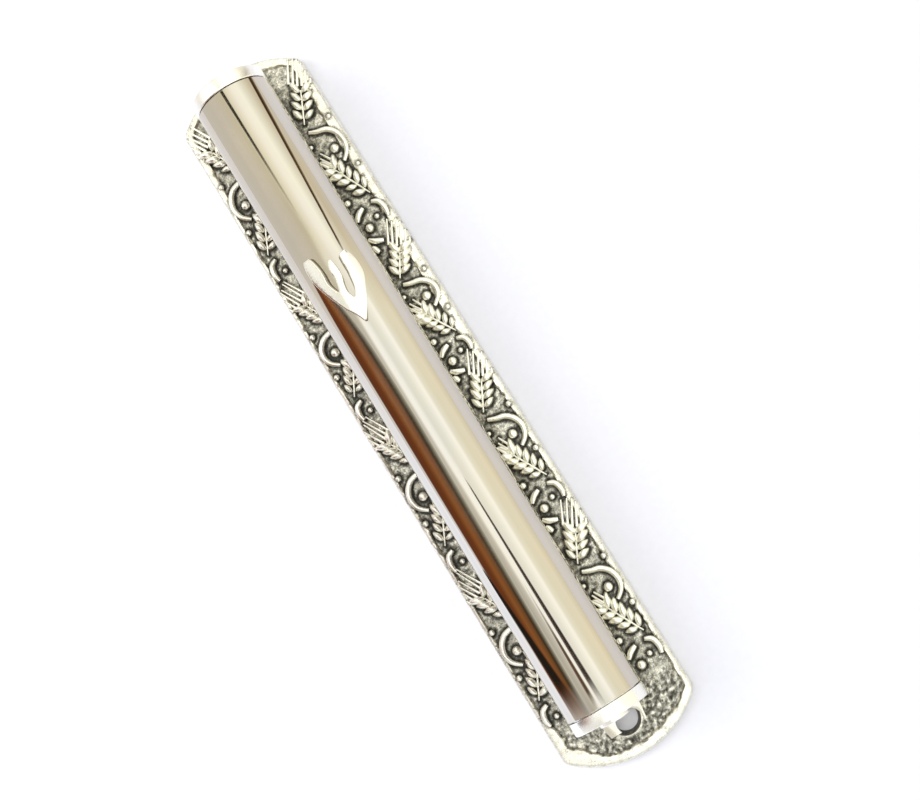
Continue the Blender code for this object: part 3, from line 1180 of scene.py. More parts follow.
@dataclass
class GrainRelief:
    """The raised ornament of both strips, cast on the plate's ground."""

    unit: OrnamentUnit = field(default_factory=OrnamentUnit)
    starts: dict[Side, tuple[float, ...]] = field(
        default_factory=lambda: {
            Side.RIGHT: (76.0, 33.5, 0.5, -36.5, -74.0),
            Side.LEFT: (76.0, 35.0, 0.0, -38.0, -75.0),
        }
    )
    level: float = 2.0
    kernel_size: tuple[float, float, float] = (1.78, 0.90, 1.20)
    kernel_lean: float = math.radians(46)
    kernel_reach: float = 1.85
    pair_spacing: float = 1.84
    awn_width: float = 0.60
    awn_height: float = 1.65
    awn_spacing: float = 0.96
    vine_radius: float = 0.66
    stem_radius: float = 0.24
    inner_limit: float = 5.9
    outer_limit: float = 14.9
    bright_from: float = 2.30
    lowest_y: float = -72.0
    seed: int = 7
    templates: dict[str, bpy.types.Object] = field(default_factory=dict)

    def kernel(self) -> bpy.types.Object:
        """Seed shape along X: a sphere drawn out to a point at one end.

        Returns:
            The template.
        """
        deselect()
        bpy.ops.mesh.primitive_uv_sphere_add(segments=10, ring_count=8, radius=1, location=(0, 0, 0))
        seed = named("kernel_template")
        bpy.ops.object.mode_set(mode="EDIT")
        bpy.ops.mesh.select_all(action="SELECT")
        bpy.ops.transform.rotate(value=math.radians(90), orient_axis="Y", center_override=(0, 0, 0))
        bpy.ops.object.mode_set(mode="OBJECT")
        for vert in seed.data.vertices:
            slim = 1 - 0.30 * ease(0.0, 1.0, vert.co.x)
            ridge = 1 + 0.10 * (1 - abs(vert.co.y)) if vert.co.z > 0 else 1
            vert.co = (vert.co.x, vert.co.y * slim, vert.co.z * slim * ridge)
        return put(seed, Matrix.Diagonal((*[size * MM for size in self.kernel_size], 1)))

    def awn(self) -> bpy.types.Object:
        """Bristle along X, one unit long: a bar with a ridged top that thins to its tip.

        Returns:
            The template.
        """
        deselect()
        bpy.ops.mesh.primitive_cube_add(size=1, location=(0.5, 0, 0))
        bar = named("awn_template")
        bpy.ops.object.transform_apply(location=True, rotation=False, scale=False)
        for vert in bar.data.vertices:
            far = vert.co.x > 0.9
            width = self.awn_width * (0.55 if far else 1.0)
            vert.co = (vert.co.x, vert.co.y * width * MM, vert.co.z * self.awn_height * MM)
        apply_modifier(bar, "BEVEL", width=0.13 * MM, segments=2, limit_method="NONE")
        return bar

    def bead(self) -> bpy.types.Object:
        """Round bead of unit radius, a little flattened.

        Returns:
            The template.
        """
        deselect()
        bpy.ops.mesh.primitive_uv_sphere_add(segments=16, ring_count=10, radius=1, location=(0, 0, 0))
        ball = named("bead_template")
        return put(ball, Matrix.Diagonal((1, 1, 0.85, 1)))

    def vine(self, route: Sequence[Point2], radius: float) -> bpy.types.Object:
        """Round stem along a smooth route, thinning at both ends.

        Args:
            route: Points that it passes through, in millimetres.
            radius: Its radius in millimetres.

        Returns:
            The stem.
        """
        deselect()
        data = bpy.data.curves.new("vine", "CURVE")
        data.dimensions = "3D"
        data.bevel_depth = radius * MM
        data.bevel_resolution = 2
        data.use_fill_caps = True
        places = curve_through(route, 5)
        spline = data.splines.new("POLY")
        spline.points.add(len(places) - 1)
        for index, (point, (x, y)) in enumerate(zip(spline.points, places)):
            along = index / (len(places) - 1)
            point.co = (x * MM, y * MM, (self.level + 0.12) * MM, 1)
            point.radius = 0.7 + 0.4 * math.sin(math.pi * along)
        stem = bpy.data.objects.new("vine", data)
        bpy.context.scene.collection.objects.link(stem)
        activate(stem)
        bpy.ops.object.convert(target="MESH")
        close_up(bpy.context.active_object)
        return bpy.context.active_object

    def allowed(self, x: float, y: float) -> bool:
        """Whether a small shape at this spot lies on the strip."""
        end = 81.5 - 0.022 * x * x
        return self.inner_limit < abs(x) < self.outer_limit and self.lowest_y < y < end

    def place_at(self, x: float, y: float, angle: float, level: float) -> Matrix:
        """Placement of a template turned by an angle in the plate's plane."""
        return Matrix.Translation((x * MM, y * MM, level * MM)) @ Matrix.Rotation(angle, 4, "Z")

    def ear_shapes(
        self, ear: Ear, to_plate: Callable[[float, float], Point2], side: Side, chance: random.Random
    ) -> list[bpy.types.Object]:
        """Kernels and awns of one ear.

        Args:
            ear: The ear's plan.
            to_plate: Turns a spot of the repeat into one of the plate.
            side: The strip it lies on.
            chance: Source of the small differences between kernels.

        Returns:
            The shapes.
        """
        found = []
        run = Vector(ear.towards).normalized()
        back = -run
        across = Vector((-back.y, back.x))

        def turned_to(direction: Vector) -> float:
            """Angle of a direction of the repeat on this strip."""
            return math.atan2(direction.y, direction.x * side.value)

        for pair in range(ear.pairs):
            middle = Vector(ear.start) + run * self.pair_spacing * (pair + 0.35)
            for lean in (self.kernel_lean, -self.kernel_lean):
                pointing = Matrix.Rotation(lean, 2) @ back
                x, y = to_plate(*(middle + pointing * self.kernel_reach))
                if not self.allowed(x, y):
                    continue
                size = chance.uniform(0.9, 1.12) * (1 - 0.05 * pair)
                turn = turned_to(pointing) + math.radians(chance.uniform(-7, 7))
                place = self.place_at(x, y, turn, self.level + chance.uniform(-0.06, 0.08))
                found.append(copy_of(self.templates["kernel"], place @ Matrix.Scale(size, 4)))
        stem_end = Vector(ear.start) + run * self.pair_spacing * (ear.pairs - 0.2)
        stem = [to_plate(*ear.start), to_plate(*stem_end)]
        if all(self.allowed(*place) for place in stem):
            found.append(self.vine(stem, self.stem_radius))
        for index in range(ear.awns):
            offset = (index - (ear.awns - 1) / 2) * self.awn_spacing
            foot = Vector(ear.start) + back * (0.6 + 0.25 * abs(offset)) + across * offset
            x, y = to_plate(*foot)
            tip_x, tip_y = to_plate(*(foot + back * ear.awn_length))
            if not self.allowed(x, y):
                continue
            length = ear.awn_length * chance.uniform(0.9, 1.1)
            room = (self.outer_limit + 0.3 - abs(x)) / max(1e-6, abs(tip_x) - abs(x))
            if abs(tip_x) > abs(x):
                length = min(length, ear.awn_length * room)
            turn = turned_to(back) + math.radians(chance.uniform(-2.5, 2.5))
            stretch = Matrix.Diagonal((length * MM, 1, 1, 1))
            found.append(copy_of(self.templates["awn"], self.place_at(x, y, turn, self.level) @ stretch))
        return found

    def strip(self, side: Side, chance: random.Random) -> list[bpy.types.Object]:
        """Every shape of one strip.

        Args:
            side: The strip.
            chance: Source of the small differences.

        Returns:
            The shapes.
        """
        found = []
        starts = self.starts[side]
        for first, following in zip(starts, starts[1:]):
            stretch = (first - following) / self.unit.length

            def to_plate(x: float, y: float, first: float = first, stretch: float = stretch) -> Point2:
                """Spot on the plate, in millimetres."""
                return x * side.value, first + y * stretch

            for ear in self.unit.ears:
                found += self.ear_shapes(ear, to_plate, side, chance)
            for route in self.unit.vines:
                places = [to_plate(*point) for point in route]
                if all(self.allowed(*place) for place in places):
                    found.append(self.vine(places, self.vine_radius))
            for x, y, radius in self.unit.beads:
                spot = to_plate(x, y)
                if self.allowed(*spot):
                    place = self.place_at(*spot, 0, self.level + 0.1)
                    found.append(copy_of(self.templates["bead"], place @ Matrix.Scale(radius * MM, 4)))
        return found

    def build(self, finish: bpy.types.Material) -> bpy.types.Object:
        """Cast the ornament of both strips.

        Args:
            finish: The pewter material.

        Returns:
            One object with every raised shape.
        """
        chance = random.Random(self.seed)
        self.templates = {"kernel": self.kernel(), "awn": self.awn(), "bead": self.bead()}
        shapes = [shape for side in Side for shape in self.strip(side, chance)]
        for template in self.templates.values():
            bpy.data.objects.remove(template, do_unlink=True)
        relief = join(shapes, "grain_and_vine_relief")
        close_up(relief)
        layer = relief.data.attributes.new(WEAR_AND_SHADE, "FLOAT", "POINT")
        for vert, item in zip(relief.data.vertices, layer.data):
            item.value = ease(1.75 * MM, self.bright_from * MM, vert.co.z)
        smooth(relief, 50)
        return mount(relief, finish, Body.CASE, "antique_pewter", "backplate")


# ---------------------------------------------------------------------------------------------
# Tube, caps and what is in and on them
# ---------------------------------------------------------------------------------------------


@dataclass
class TubeLine:
    """The tube's axis and radius, which every round piece shares."""

    radius: float
    low_y: float
    high_y: float
    axis_z: float

    @classmethod
    def from_cad(cls) -> TubeLine:
        """Read the line from the tube's box.

        Returns:
            The line.
        """
        low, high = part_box("tube")
        return cls(
            radius=(high.x - low.x) / 2, low_y=low.y, high_y=high.y, axis_z=(high.z + low.z) / 2
        )

    def along(self, y: float, end: End) -> Matrix:
        """Placement that lays local Z on the axis, pointing at one end."""
        turn = Matrix.Rotation(math.radians(-90 * end.value), 4, "X")
        return Matrix.Translation((0, y, self.axis_z)) @ turn


@dataclass
class PolishedTube:
    """Open drawn tube with softened edges."""

    line: TubeLine
    wall: float = 0.8 * MM
    sides: int = 192
    rivet_y: Sequence[float] = ()

    def build(self, finish: bpy.types.Material) -> bpy.types.Object:
        """Make the tube, with its rivet holes.

        Args:
            finish: The polished material.

        Returns:
            The tube.
        """
        length = self.line.high_y - self.line.low_y
        bore = self.line.radius - self.wall
        edge = 0.12 * MM
        profile = [
            (self.line.radius - edge, 0),
            (self.line.radius, edge),
            (self.line.radius, length - edge),
            (self.line.radius - edge, length),
            (bore + edge, length),
            (bore, length - edge),
            (bore, edge),
            (bore + edge, 0),
        ]
        tube = ring_solid("polished_tube", profile, self.sides)
        put(tube, self.line.along(self.line.low_y, End.TOP))
        cutters = []
        for index, y in enumerate(self.rivet_y):
            hole = turned(f"tube_hole_{index}", [(RIVET_WAY, 0), (RIVET_WAY, self.line.axis_z)], 32)
            cutters.append(put(hole, Matrix.Translation((0, y, 0))))
        cut_away(tube, cutters)
        smooth(tube, 30)
        return mount(tube, finish, Body.CASE, "polished_tube", "tube")


@dataclass
class EndCap:
    """Turned cap: a band flush with the tube, a small boss and a hollow spigot."""

    line: TubeLine
    end: End
    band: float = 3.05 * MM
    boss_radius: float = 3.4 * MM
    boss_height: float = 1.1 * MM
    spigot_radius: float = 7.4 * MM
    spigot_length: float = 7.0 * MM
    spigot_bore: float = 5.2 * MM
    bore_depth: float = 5.8 * MM
    groove: Point2 = (3.4 * MM, 1.4 * MM)  # middle below the seam, and width
    groove_radius: float = 6.4 * MM
    seam: float = 0.22 * MM
    soft: float = 0.28 * MM
    steps: int = 128

    def corner(self, radius: float, height: float, outwards: int, up: int) -> list[Point2]:
        """Rounded corner of the profile, from its vertical face to its flat one.

        Args:
            radius: Radius of the upright face.
            height: Height of the flat face.
            outwards: 1 where the upright face looks outwards, -1 inwards.
            up: 1 where the flat face looks up, -1 down.

        Returns:
            Points of the corner.
        """
        found = []
        for step in range(5):
            angle = math.pi / 2 * step / 4
            found.append(
                (
                    radius - outwards * self.soft * (1 - math.cos(angle)),
                    height - up * self.soft * (1 - math.sin(angle)),
                )
            )
        return found

    def profile(self) -> list[Point2]:
        """Half section from inside the spigot out to the boss.

        Returns:
            Points of (radius, height), with the seam at height zero.
        """
        radius = self.line.radius
        points = [
            (self.spigot_bore * 0.5, self.bore_depth - self.spigot_length),
            (self.spigot_bore, self.bore_depth - self.spigot_length),
            (self.spigot_bore, -self.spigot_length),
            *self.corner(self.spigot_radius, -self.spigot_length, 1, -1)[::-1],
        ]
        if self.end is End.BOTTOM:
            middle, width = self.groove
            points += [
                (self.spigot_radius, -middle - width / 2),
                (self.groove_radius, -middle - width / 2),
                (self.groove_radius, -middle + width / 2),
                (self.spigot_radius, -middle + width / 2),
            ]
        points += [(self.spigot_radius, self.seam)]
        points += self.corner(radius, self.seam, 1, -1)[::-1]
        points += self.corner(radius, self.band, 1, 1)
        points += [
            (self.boss_radius + 0.25 * MM, self.band),
            (self.boss_radius, self.band + 0.2 * MM),
            *self.corner(self.boss_radius, self.band + self.boss_height, 1, 1),
            (self.boss_radius * 0.45, self.band + self.boss_height),
        ]
        return points

    def build(self, finish: bpy.types.Material) -> bpy.types.Object:
        """Make the cap at its end of the tube.

        Args:
            finish: Its material.

        Returns:
            The cap.
        """
        at_top = self.end is End.TOP
        name = "turned_top_cap" if at_top else "turned_bottom_cap"
        cap = turned(name, self.profile(), self.steps)
        seam_y = self.line.high_y if at_top else self.line.low_y
        put(cap, self.line.along(seam_y, self.end))
        smooth(cap, 35)
        body = Body.CASE if at_top else Body.BOTTOM_CAP
        node = "top_end_cap" if at_top else "bottom_end_cap"
        return mount(cap, finish, body, "polished_caps", node)


@dataclass
class CapRing:
    """Rubber ring in the groove of the bottom cap."""

    line: TubeLine
    middle: float = 3.4 * MM
    centre_radius: float = 7.03 * MM
    section: float = 0.5 * MM

    def build(self, finish: bpy.types.Material) -> bpy.types.Object:
        """Make the ring with a thin moulding line round its outside.

        Args:
            finish: Its material.

        Returns:
            The ring.
        """
        profile = []
        for step in range(20):
            angle = 2 * math.pi * step / 20
            flash = 0.03 * MM if step == 0 else 0.0
            radius = self.centre_radius + (self.section + flash) * math.cos(angle)
            profile.append((radius, self.section * math.sin(angle) - self.middle))
        ring = ring_solid("cap_sealing_ring", profile, 96)
        put(ring, self.line.along(self.line.low_y, End.BOTTOM))
        smooth(ring, 60)
        return mount(ring, finish, Body.BOTTOM_CAP, "ring_rubber", "bottom_cap_ring")


@dataclass
class Emblem:
    """Three flame-like arms that meet in a tip, cast to follow the tube."""

    line: TubeLine
    tip_y: float = 17.1
    thickness: float = 1.45
    voxel: float = 0.13
    rounding: int = 14
    sunk: float = 0.08
    arms: tuple[tuple[tuple[float, float, float], ...], ...] = (
        (
            (-3.5, 17.4, 1.6),
            (-3.5, 15.8, 2.7),
            (-3.3, 13.1, 3.1),
            (-2.9, 10.2, 2.2),
            (-1.7, 7.2, 2.2),
            (-0.4, 5.0, 2.8),
            (0.7, 2.8, 2.4),
            (0.9, 0.3, 0.6),
        ),
        (
            (0.9, 14.7, 0.9),
            (0.7, 12.8, 1.8),
            (0.8, 11.0, 1.7),
            (0.3, 9.0, 1.5),
            (0.0, 7.0, 1.8),
            (0.5, 4.6, 2.2),
        ),
        (
            (4.0, 14.9, 1.7),
            (4.4, 13.4, 2.6),
            (4.6, 11.0, 3.0),
            (4.3, 9.0, 3.0),
            (3.5, 6.6, 2.4),
            (2.4, 4.4, 2.6),
            (1.4, 2.2, 2.0),
            (0.9, 0.3, 0.6),
        ),
    )

    def outline(self, arm: Sequence[tuple[float, float, float]]) -> list[Point2]:
        """Outline of a stroke whose width changes along its curve, in millimetres.

        Args:
            arm: Points of (across, along, width).

        Returns:
            The closed outline.
        """
        smooth_arm = curve_through(arm, 6)
        left, right = [], []
        for index, (across, along, width) in enumerate(smooth_arm):
            ahead = Vector(smooth_arm[min(index + 1, len(smooth_arm) - 1)][:2])
            behind = Vector(smooth_arm[max(index - 1, 0)][:2])
            side = (ahead - behind).normalized().orthogonal() * width / 2
            left.append((across + side.x, along + side.y))
            right.append((across - side.x, along - side.y))
        return left + right[::-1]

    def wrap(self, emblem: bpy.types.Object) -> None:
        """Bend the flat casting round the tube.

        Args:
            emblem: The flat casting, in millimetres.
        """
        for vert in emblem.data.vertices:
            across, along, rise = vert.co
            angle = across / (self.line.radius / MM + self.thickness)
            reach = self.line.radius + (rise - self.sunk) * MM
            vert.co = (
                reach * math.sin(angle),
                (self.tip_y + along) * MM,
                self.line.axis_z + reach * math.cos(angle),
            )

    def build(self, finish: bpy.types.Material) -> bpy.types.Object:
        """Make the emblem.

        Args:
            finish: Its material.

        Returns:
            The emblem.
        """
        prisms = [
            raised(f"arm_{index}", self.outline(arm), 0.0, self.thickness)
            for index, arm in enumerate(self.arms)
        ]
        emblem = join(prisms, "silver_emblem")
        apply_modifier(emblem, "REMESH", mode="VOXEL", voxel_size=self.voxel)
        apply_modifier(emblem, "SMOOTH", factor=0.6, iterations=self.rounding)
        # Painted shade: the casting darkens towards its foot and lower sides, where it meets the tube.
        layer = emblem.data.attributes.new(WEAR_AND_SHADE, "FLOAT", "POINT")
        for vert, item in zip(emblem.data.vertices, layer.data):
            item.value = ease(0.45, 1.38, vert.co.z)
        self.wrap(emblem)
        smooth(emblem, 75)
        return mount(emblem, finish, Body.CASE, "emblem_silver", "shin_emblem")


@dataclass
class TubeRivet:
    """Blind rivet from the back of the plate into the tube."""

    node: str
    shank: float = 1.2 * MM
    flange: float = 2.3 * MM
    bulb: float = 2.0 * MM

    def build(self, finish: bpy.types.Material) -> bpy.types.Object:
        """Make the rivet at its node's place.

        Args:
            finish: Its material.

        Returns:
            The rivet.
        """
        low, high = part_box(self.node)
        flange_top = low.z + 0.5 * MM
        bulb_low = high.z - 1.1 * MM
        profile = [
            (0.35 * MM, low.z + 0.3 * MM),
            (0.55 * MM, low.z),
            (self.flange - 0.2 * MM, low.z),
            (self.flange, low.z + 0.15 * MM),
            (self.flange, flange_top),
            (self.shank, flange_top),
            (self.shank, bulb_low),
            (self.bulb * 0.92, bulb_low + 0.25 * MM),
            (self.bulb, bulb_low + 0.5 * MM),
            (self.bulb * 0.9, high.z - 0.15 * MM),
            (self.bulb * 0.6, high.z),
            (0.5 * MM, high.z),
        ]
        rivet = turned(f"{self.node}_body", profile, 48)
        put(rivet, Matrix.Translation(((low.x + high.x) / 2, (low.y + high.y) / 2, 0)))
        smooth(rivet, 35)
        return mount(rivet, finish, Body.CASE, "rivet_aluminium", self.node)


@dataclass
class ParchmentRoll:
    """The scroll as one long sheet rolled up."""

    turns: int = 6
    core: float = 1.95 * MM
    sheet: float = 0.12 * MM
    steps_per_turn: int = 40

    def build(self, finish: bpy.types.Material) -> bpy.types.Object:
        """Make the roll: a spiral line drawn out along the tube and given its thickness.

        Args:
            finish: Its material.

        Returns:
            The roll.
        """
        low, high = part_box("parchment_scroll")
        centre = (low + high) / 2
        outer = (high.x - low.x) / 2 - self.sheet
        count = self.turns * self.steps_per_turn
        deselect()
        bpy.ops.mesh.primitive_circle_add(vertices=count, radius=1, fill_type="NOTHING")
        roll = named("rolled_parchment")
        for index, vert in enumerate(roll.data.vertices):
            share = index / (count - 1)
            radius = self.core + (outer - self.core) * share
            angle = 2 * math.pi * self.turns * share
            vert.co = (
                centre.x + radius * math.cos(angle),
                low.y,
                centre.z + radius * math.sin(angle),
            )
        mesh = bmesh.new()
        mesh.from_mesh(roll.data)
        mesh.verts.ensure_lookup_table()
        closing = mesh.edges.get((mesh.verts[0], mesh.verts[-1]))
        bmesh.ops.delete(mesh, geom=[closing], context="EDGES")
        mesh.to_mesh(roll.data)
        mesh.free()
        activate(roll)
        bpy.ops.object.mode_set(mode="EDIT")
        bpy.ops.mesh.select_all(action="SELECT")
        bpy.ops.mesh.extrude_edges_move(TRANSFORM_OT_translate={"value": (0, high.y - low.y, 0)})
        bpy.ops.mesh.select_all(action="SELECT")
        bpy.ops.mesh.normals_make_consistent(inside=False)
        bpy.ops.object.mode_set(mode="OBJECT")
        apply_modifier(roll, "SOLIDIFY", thickness=self.sheet, offset=0.0)
        smooth(roll, 40)
        return mount(roll, finish, Body.SCROLL, "parchment", "parchment_scroll")


@dataclass
class FilmSleeve:
    """Thin open sleeve round the scroll."""

    wall: float = 0.12 * MM

    def build(self, finish: bpy.types.Material) -> bpy.types.Object:
        """Make the sleeve with a slight flare at both mouths.

        Args:
            finish: Its material.

        Returns:
            The sleeve.
        """
        low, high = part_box("scroll_sleeve")
        radius = (high.x - low.x) / 2
        length = high.y - low.y
        flare = 0.06 * MM
        mouth = 1.5 * MM
        outer = [(radius, 0), (radius - flare, mouth), (radius - flare, length - mouth), (radius, length)]
        inner = [(r - self.wall, y) for r, y in reversed(outer)]
        sleeve = ring_solid("film_sleeve", outer + inner, 64)
        centre = (low + high) / 2
        turn = Matrix.Rotation(math.radians(-90), 4, "X")
        put(sleeve, Matrix.Translation((centre.x, low.y, centre.z)) @ turn)
        smooth(sleeve, 40)
        return mount(sleeve, finish, Body.SCROLL, "clear_film", "scroll_sleeve")


@dataclass
class SaddleRail:
    """Smooth rail that cradles the tube, with a notched lug at each end."""

    line: TubeLine
    lug_reach: float = 3.8 * MM
    lug_tip_half: float = 4.2 * MM
    lug_root_z: float = 4.1 * MM
    lug_tip_z: float = 3.0 * MM
    lug_longer: float = 0.9 * MM
    notch_radius: float = 2.9 * MM
    notch_shift: Point2 = (0.9 * MM, 1.0 * MM)  # to the right, and away from the middle of the case
    play: float = 0.04 * MM
    past_end: float = 100 * MM
    hole_y: Sequence[float] = SCREW_HOLES
    rivet_y: Sequence[float] = ()

    def outline(self, low: Vector, high: Vector) -> list[Point2]:
        """Plan of the rail, whose lugs narrow to their tips.

        Args:
            low: Lower corner of its box.
            high: Upper corner of its box.

        Returns:
            The closed outline.
        """
        half = high.x
        root = high.y - self.lug_reach
        foot = low.y + self.lug_reach
        tip = self.lug_tip_half
        soft = 0.8 * MM
        top = [(half, root - soft), (half - 0.2 * MM, root), (tip, high.y), (-tip, high.y)]
        top += [(-half + 0.2 * MM, root), (-half, root - soft)]
        bottom = [(-half, foot + soft), (-half + 0.2 * MM, foot), (-tip, low.y), (tip, low.y)]
        bottom += [(half - 0.2 * MM, foot), (half, foot + soft)]
        return top + bottom

    def slope_cutter(self, root: float, end: End) -> bpy.types.Object:
        """Wedge that leaves a lug sloping down to its tip.

        Args:
            root: Place along the case where the slope starts.
            end: The end that it falls towards.

        Returns:
            The closed wedge.
        """
        fall = (self.lug_root_z - self.lug_tip_z) / self.lug_reach
        reach = 3 * self.lug_reach
        side_view = [
            (self.lug_root_z, 0.0),
            (self.lug_root_z - fall * reach, reach),
            (self.line.axis_z, reach),
            (self.line.axis_z, 0.0),
        ]
        wedge = raised("lug_slope", [(z, y * end.value) for z, y in side_view], -10 * MM, 10 * MM)
        stand = Matrix.Rotation(math.radians(-90), 4, "Y")
        put(wedge, Matrix.Translation((0, root, 0)) @ stand)
        close_up(wedge)
        return wedge

    def build(self, finish: bpy.types.Material) -> bpy.types.Object:
        """Make the rail.

        Args:
            finish: Its material.

        Returns:
            The rail.
        """
        low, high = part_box("tube_saddle")
        low.y -= self.lug_longer
        high.y += self.lug_longer
        rail = raised("smooth_rail", self.outline(low, high), low.z, high.z)
        bed_radius = self.line.radius + self.play
        trough = turned("trough", [(bed_radius, 0), (bed_radius, 2 * self.past_end)], 192)
        put(trough, self.line.along(-self.past_end, End.TOP))
        cutters = [
            trough,
            self.slope_cutter(low.y + self.lug_reach, End.BOTTOM),
            self.slope_cutter(high.y - self.lug_reach, End.TOP),
        ]
        for y in self.hole_y:
            notch = turned("notch", [(self.notch_radius, 0), (self.notch_radius, self.line.axis_z)], 64)
            right, outwards = self.notch_shift
            cutters.append(put(notch, Matrix.Translation((right, y + math.copysign(outwards, y), 0))))
        for y in self.rivet_y:
            hole = turned("rivet_way", [(RIVET_WAY, 0), (RIVET_WAY, self.line.axis_z)], 32)
            cutters.append(put(hole, Matrix.Translation((0, y, 0))))
        cut_away(rail, cutters)
        apply_modifier(rail, "BEVEL", width=0.22 * MM, segments=3, limit_method="ANGLE", angle_limit=0.6)
        smooth(rail, 45)
        return mount(rail, finish, Body.CASE, "satin_rail", "tube_saddle")


# ---------------------------------------------------------------------------------------------
# Studio
# ---------------------------------------------------------------------------------------------


@dataclass(frozen=True)
class ReflectorCard:
    """Curved card round the case that only shows as a reflection in its metal.

    Its sides stand at angles seen from the tube, in degrees from straight up, positive to the right.
    """

    name: str
    low_sides: Point2
    high_sides: Point2
    low_y: float
    high_y: float
    stops: tuple[tuple[float, Colour], ...]
    soft_sides: float = 0.15
    soft_ends: Point2 = (0.1, 0.1)
    radius: float = 0.100
    bend: float = 1.0  # above 1, the sides start straight and close in faster towards high_y


# The cards are painted reflections: glowing sheets that light nothing and show only in the metal. The room
# arch paints the surroundings, and its brightest stops are painted highlights.
ROOM = ReflectorCard(
    "room_arch",
    (-97.0, 95.0),
    (-97.0, 95.0),
    -0.40,
    0.40,
    (
        (0.00, (0.98, 0.96, 0.96)),
        (0.30, (0.80, 0.78, 0.74)),
        (0.36, (0.72, 0.71, 0.63)),
        (0.42, (0.92, 0.90, 0.82)),
        (0.455, (1.50, 1.54, 1.50)),
        (0.50, (1.45, 1.50, 1.48)),
        (0.55, (1.24, 1.27, 1.20)),
        (0.60, (1.30, 1.34, 1.26)),
        (0.69, (1.57, 1.60, 1.55)),
        (0.73, (1.30, 1.30, 1.15)),
        (0.80, (1.20, 1.17, 0.97)),
        (0.90, (1.24, 1.19, 0.97)),
        (1.00, (1.02, 0.96, 0.78)),
    ),
    soft_sides=0.0,
    soft_ends=(0.0, 0.0),
    radius=0.110,
)
# Glow colours of the brown cards: a painted reflection of a dark wooden thing to the left of the case.
WOOD_REFLECTION_STOPS = (
    (0.00, (0.17, 0.055, 0.030)),
    (0.30, (0.21, 0.066, 0.020)),
    (0.52, (0.38, 0.145, 0.045)),
    (0.70, (0.24, 0.105, 0.038)),
    (0.80, (0.06, 0.042, 0.024)),
    (0.86, (0.14, 0.120, 0.080)),
    (0.93, (0.34, 0.320, 0.250)),
    (1.00, (0.72, 0.710, 0.630)),
)
CARDS = (
    ROOM,
    ReflectorCard(
        "upper_arch",
        (-97.0, 95.0),
        (-97.0, 95.0),
        0.040,
        0.40,
        (
            (0.00, (0.88, 0.86, 0.82)),
            (0.30, (0.84, 0.80, 0.70)),
            (0.45, (0.86, 0.81, 0.62)),
            (0.51, (1.20, 1.17, 0.98)),
            (0.60, (1.45, 1.44, 1.36)),
            (0.69, (1.50, 1.54, 1.42)),
            (0.765, (1.24, 1.24, 1.10)),
            (0.88, (0.92, 0.84, 0.64)),
            (1.00, (0.94, 0.90, 0.80)),
        ),
        soft_sides=0.0,
        soft_ends=(0.08, 0.0),
        radius=0.108,
    ),
    ReflectorCard(
        "wood_card_low",
        (-96.0, -38.0),
        (-89.0, -20.0),
        -0.082,
        0.010,
        WOOD_REFLECTION_STOPS,
        soft_sides=0.05,
        soft_ends=(0.14, 0.0),
        radius=0.104,
    ),
    ReflectorCard(
        "wood_card_high",
        (-89.0, -20.0),
        (-74.0, -72.0),
        0.010,
        0.060,
        WOOD_REFLECTION_STOPS,
        soft_sides=0.05,
        soft_ends=(0.0, 0.05),
        radius=0.104,
        bend=4.0,
    ),
    ReflectorCard(
        "black_wedge",
        (-88.0, -46.0),
        (-101.0, -92.0),
        -0.078,
        -0.032,
        ((0.0, (0.02, 0.02, 0.015)), (1.0, (0.03, 0.02, 0.015))),
        soft_sides=0.22,
        soft_ends=(0.25, 0.02),
        radius=0.102,
    ),
    ReflectorCard(
        "crown_line",
        (-4.0, 13.0),
        (3.0, 6.5),
        -0.078,
        -0.010,
        ((0.0, (0.16, 0.08, 0.05)), (0.5, (0.03, 0.02, 0.02)), (1.0, (0.03, 0.025, 0.02))),
        soft_sides=0.22,
        soft_ends=(0.12, 0.05),
    ),
    ReflectorCard(
        "crown_shadow",
        (-22.0, -7.0),
        (-9.0, -6.5),
        -0.077,
        -0.040,
        ((0.0, (0.17, 0.09, 0.06)), (1.0, (0.12, 0.08, 0.05))),
        soft_sides=0.30,
        soft_ends=(0.12, 0.5),
    ),
    ReflectorCard(
        "left_line",
        (-8.5, -4.0),
        (-15.0, -3.5),
        0.072,
        0.130,
        ((0.0, (0.05, 0.04, 0.02)), (1.0, (0.02, 0.02, 0.01))),
        soft_sides=0.15,
        soft_ends=(0.40, 0.02),
    ),
    ReflectorCard(
        "right_line",
        (44.0, 49.5),
        (84.0, 100.0),
        0.056,
        0.125,
        ((0.0, (0.03, 0.02, 0.01)), (0.55, (0.10, 0.055, 0.025)), (1.0, (0.45, 0.34, 0.21))),
        soft_sides=0.16,
        soft_ends=(0.08, 0.02),
    ),
)


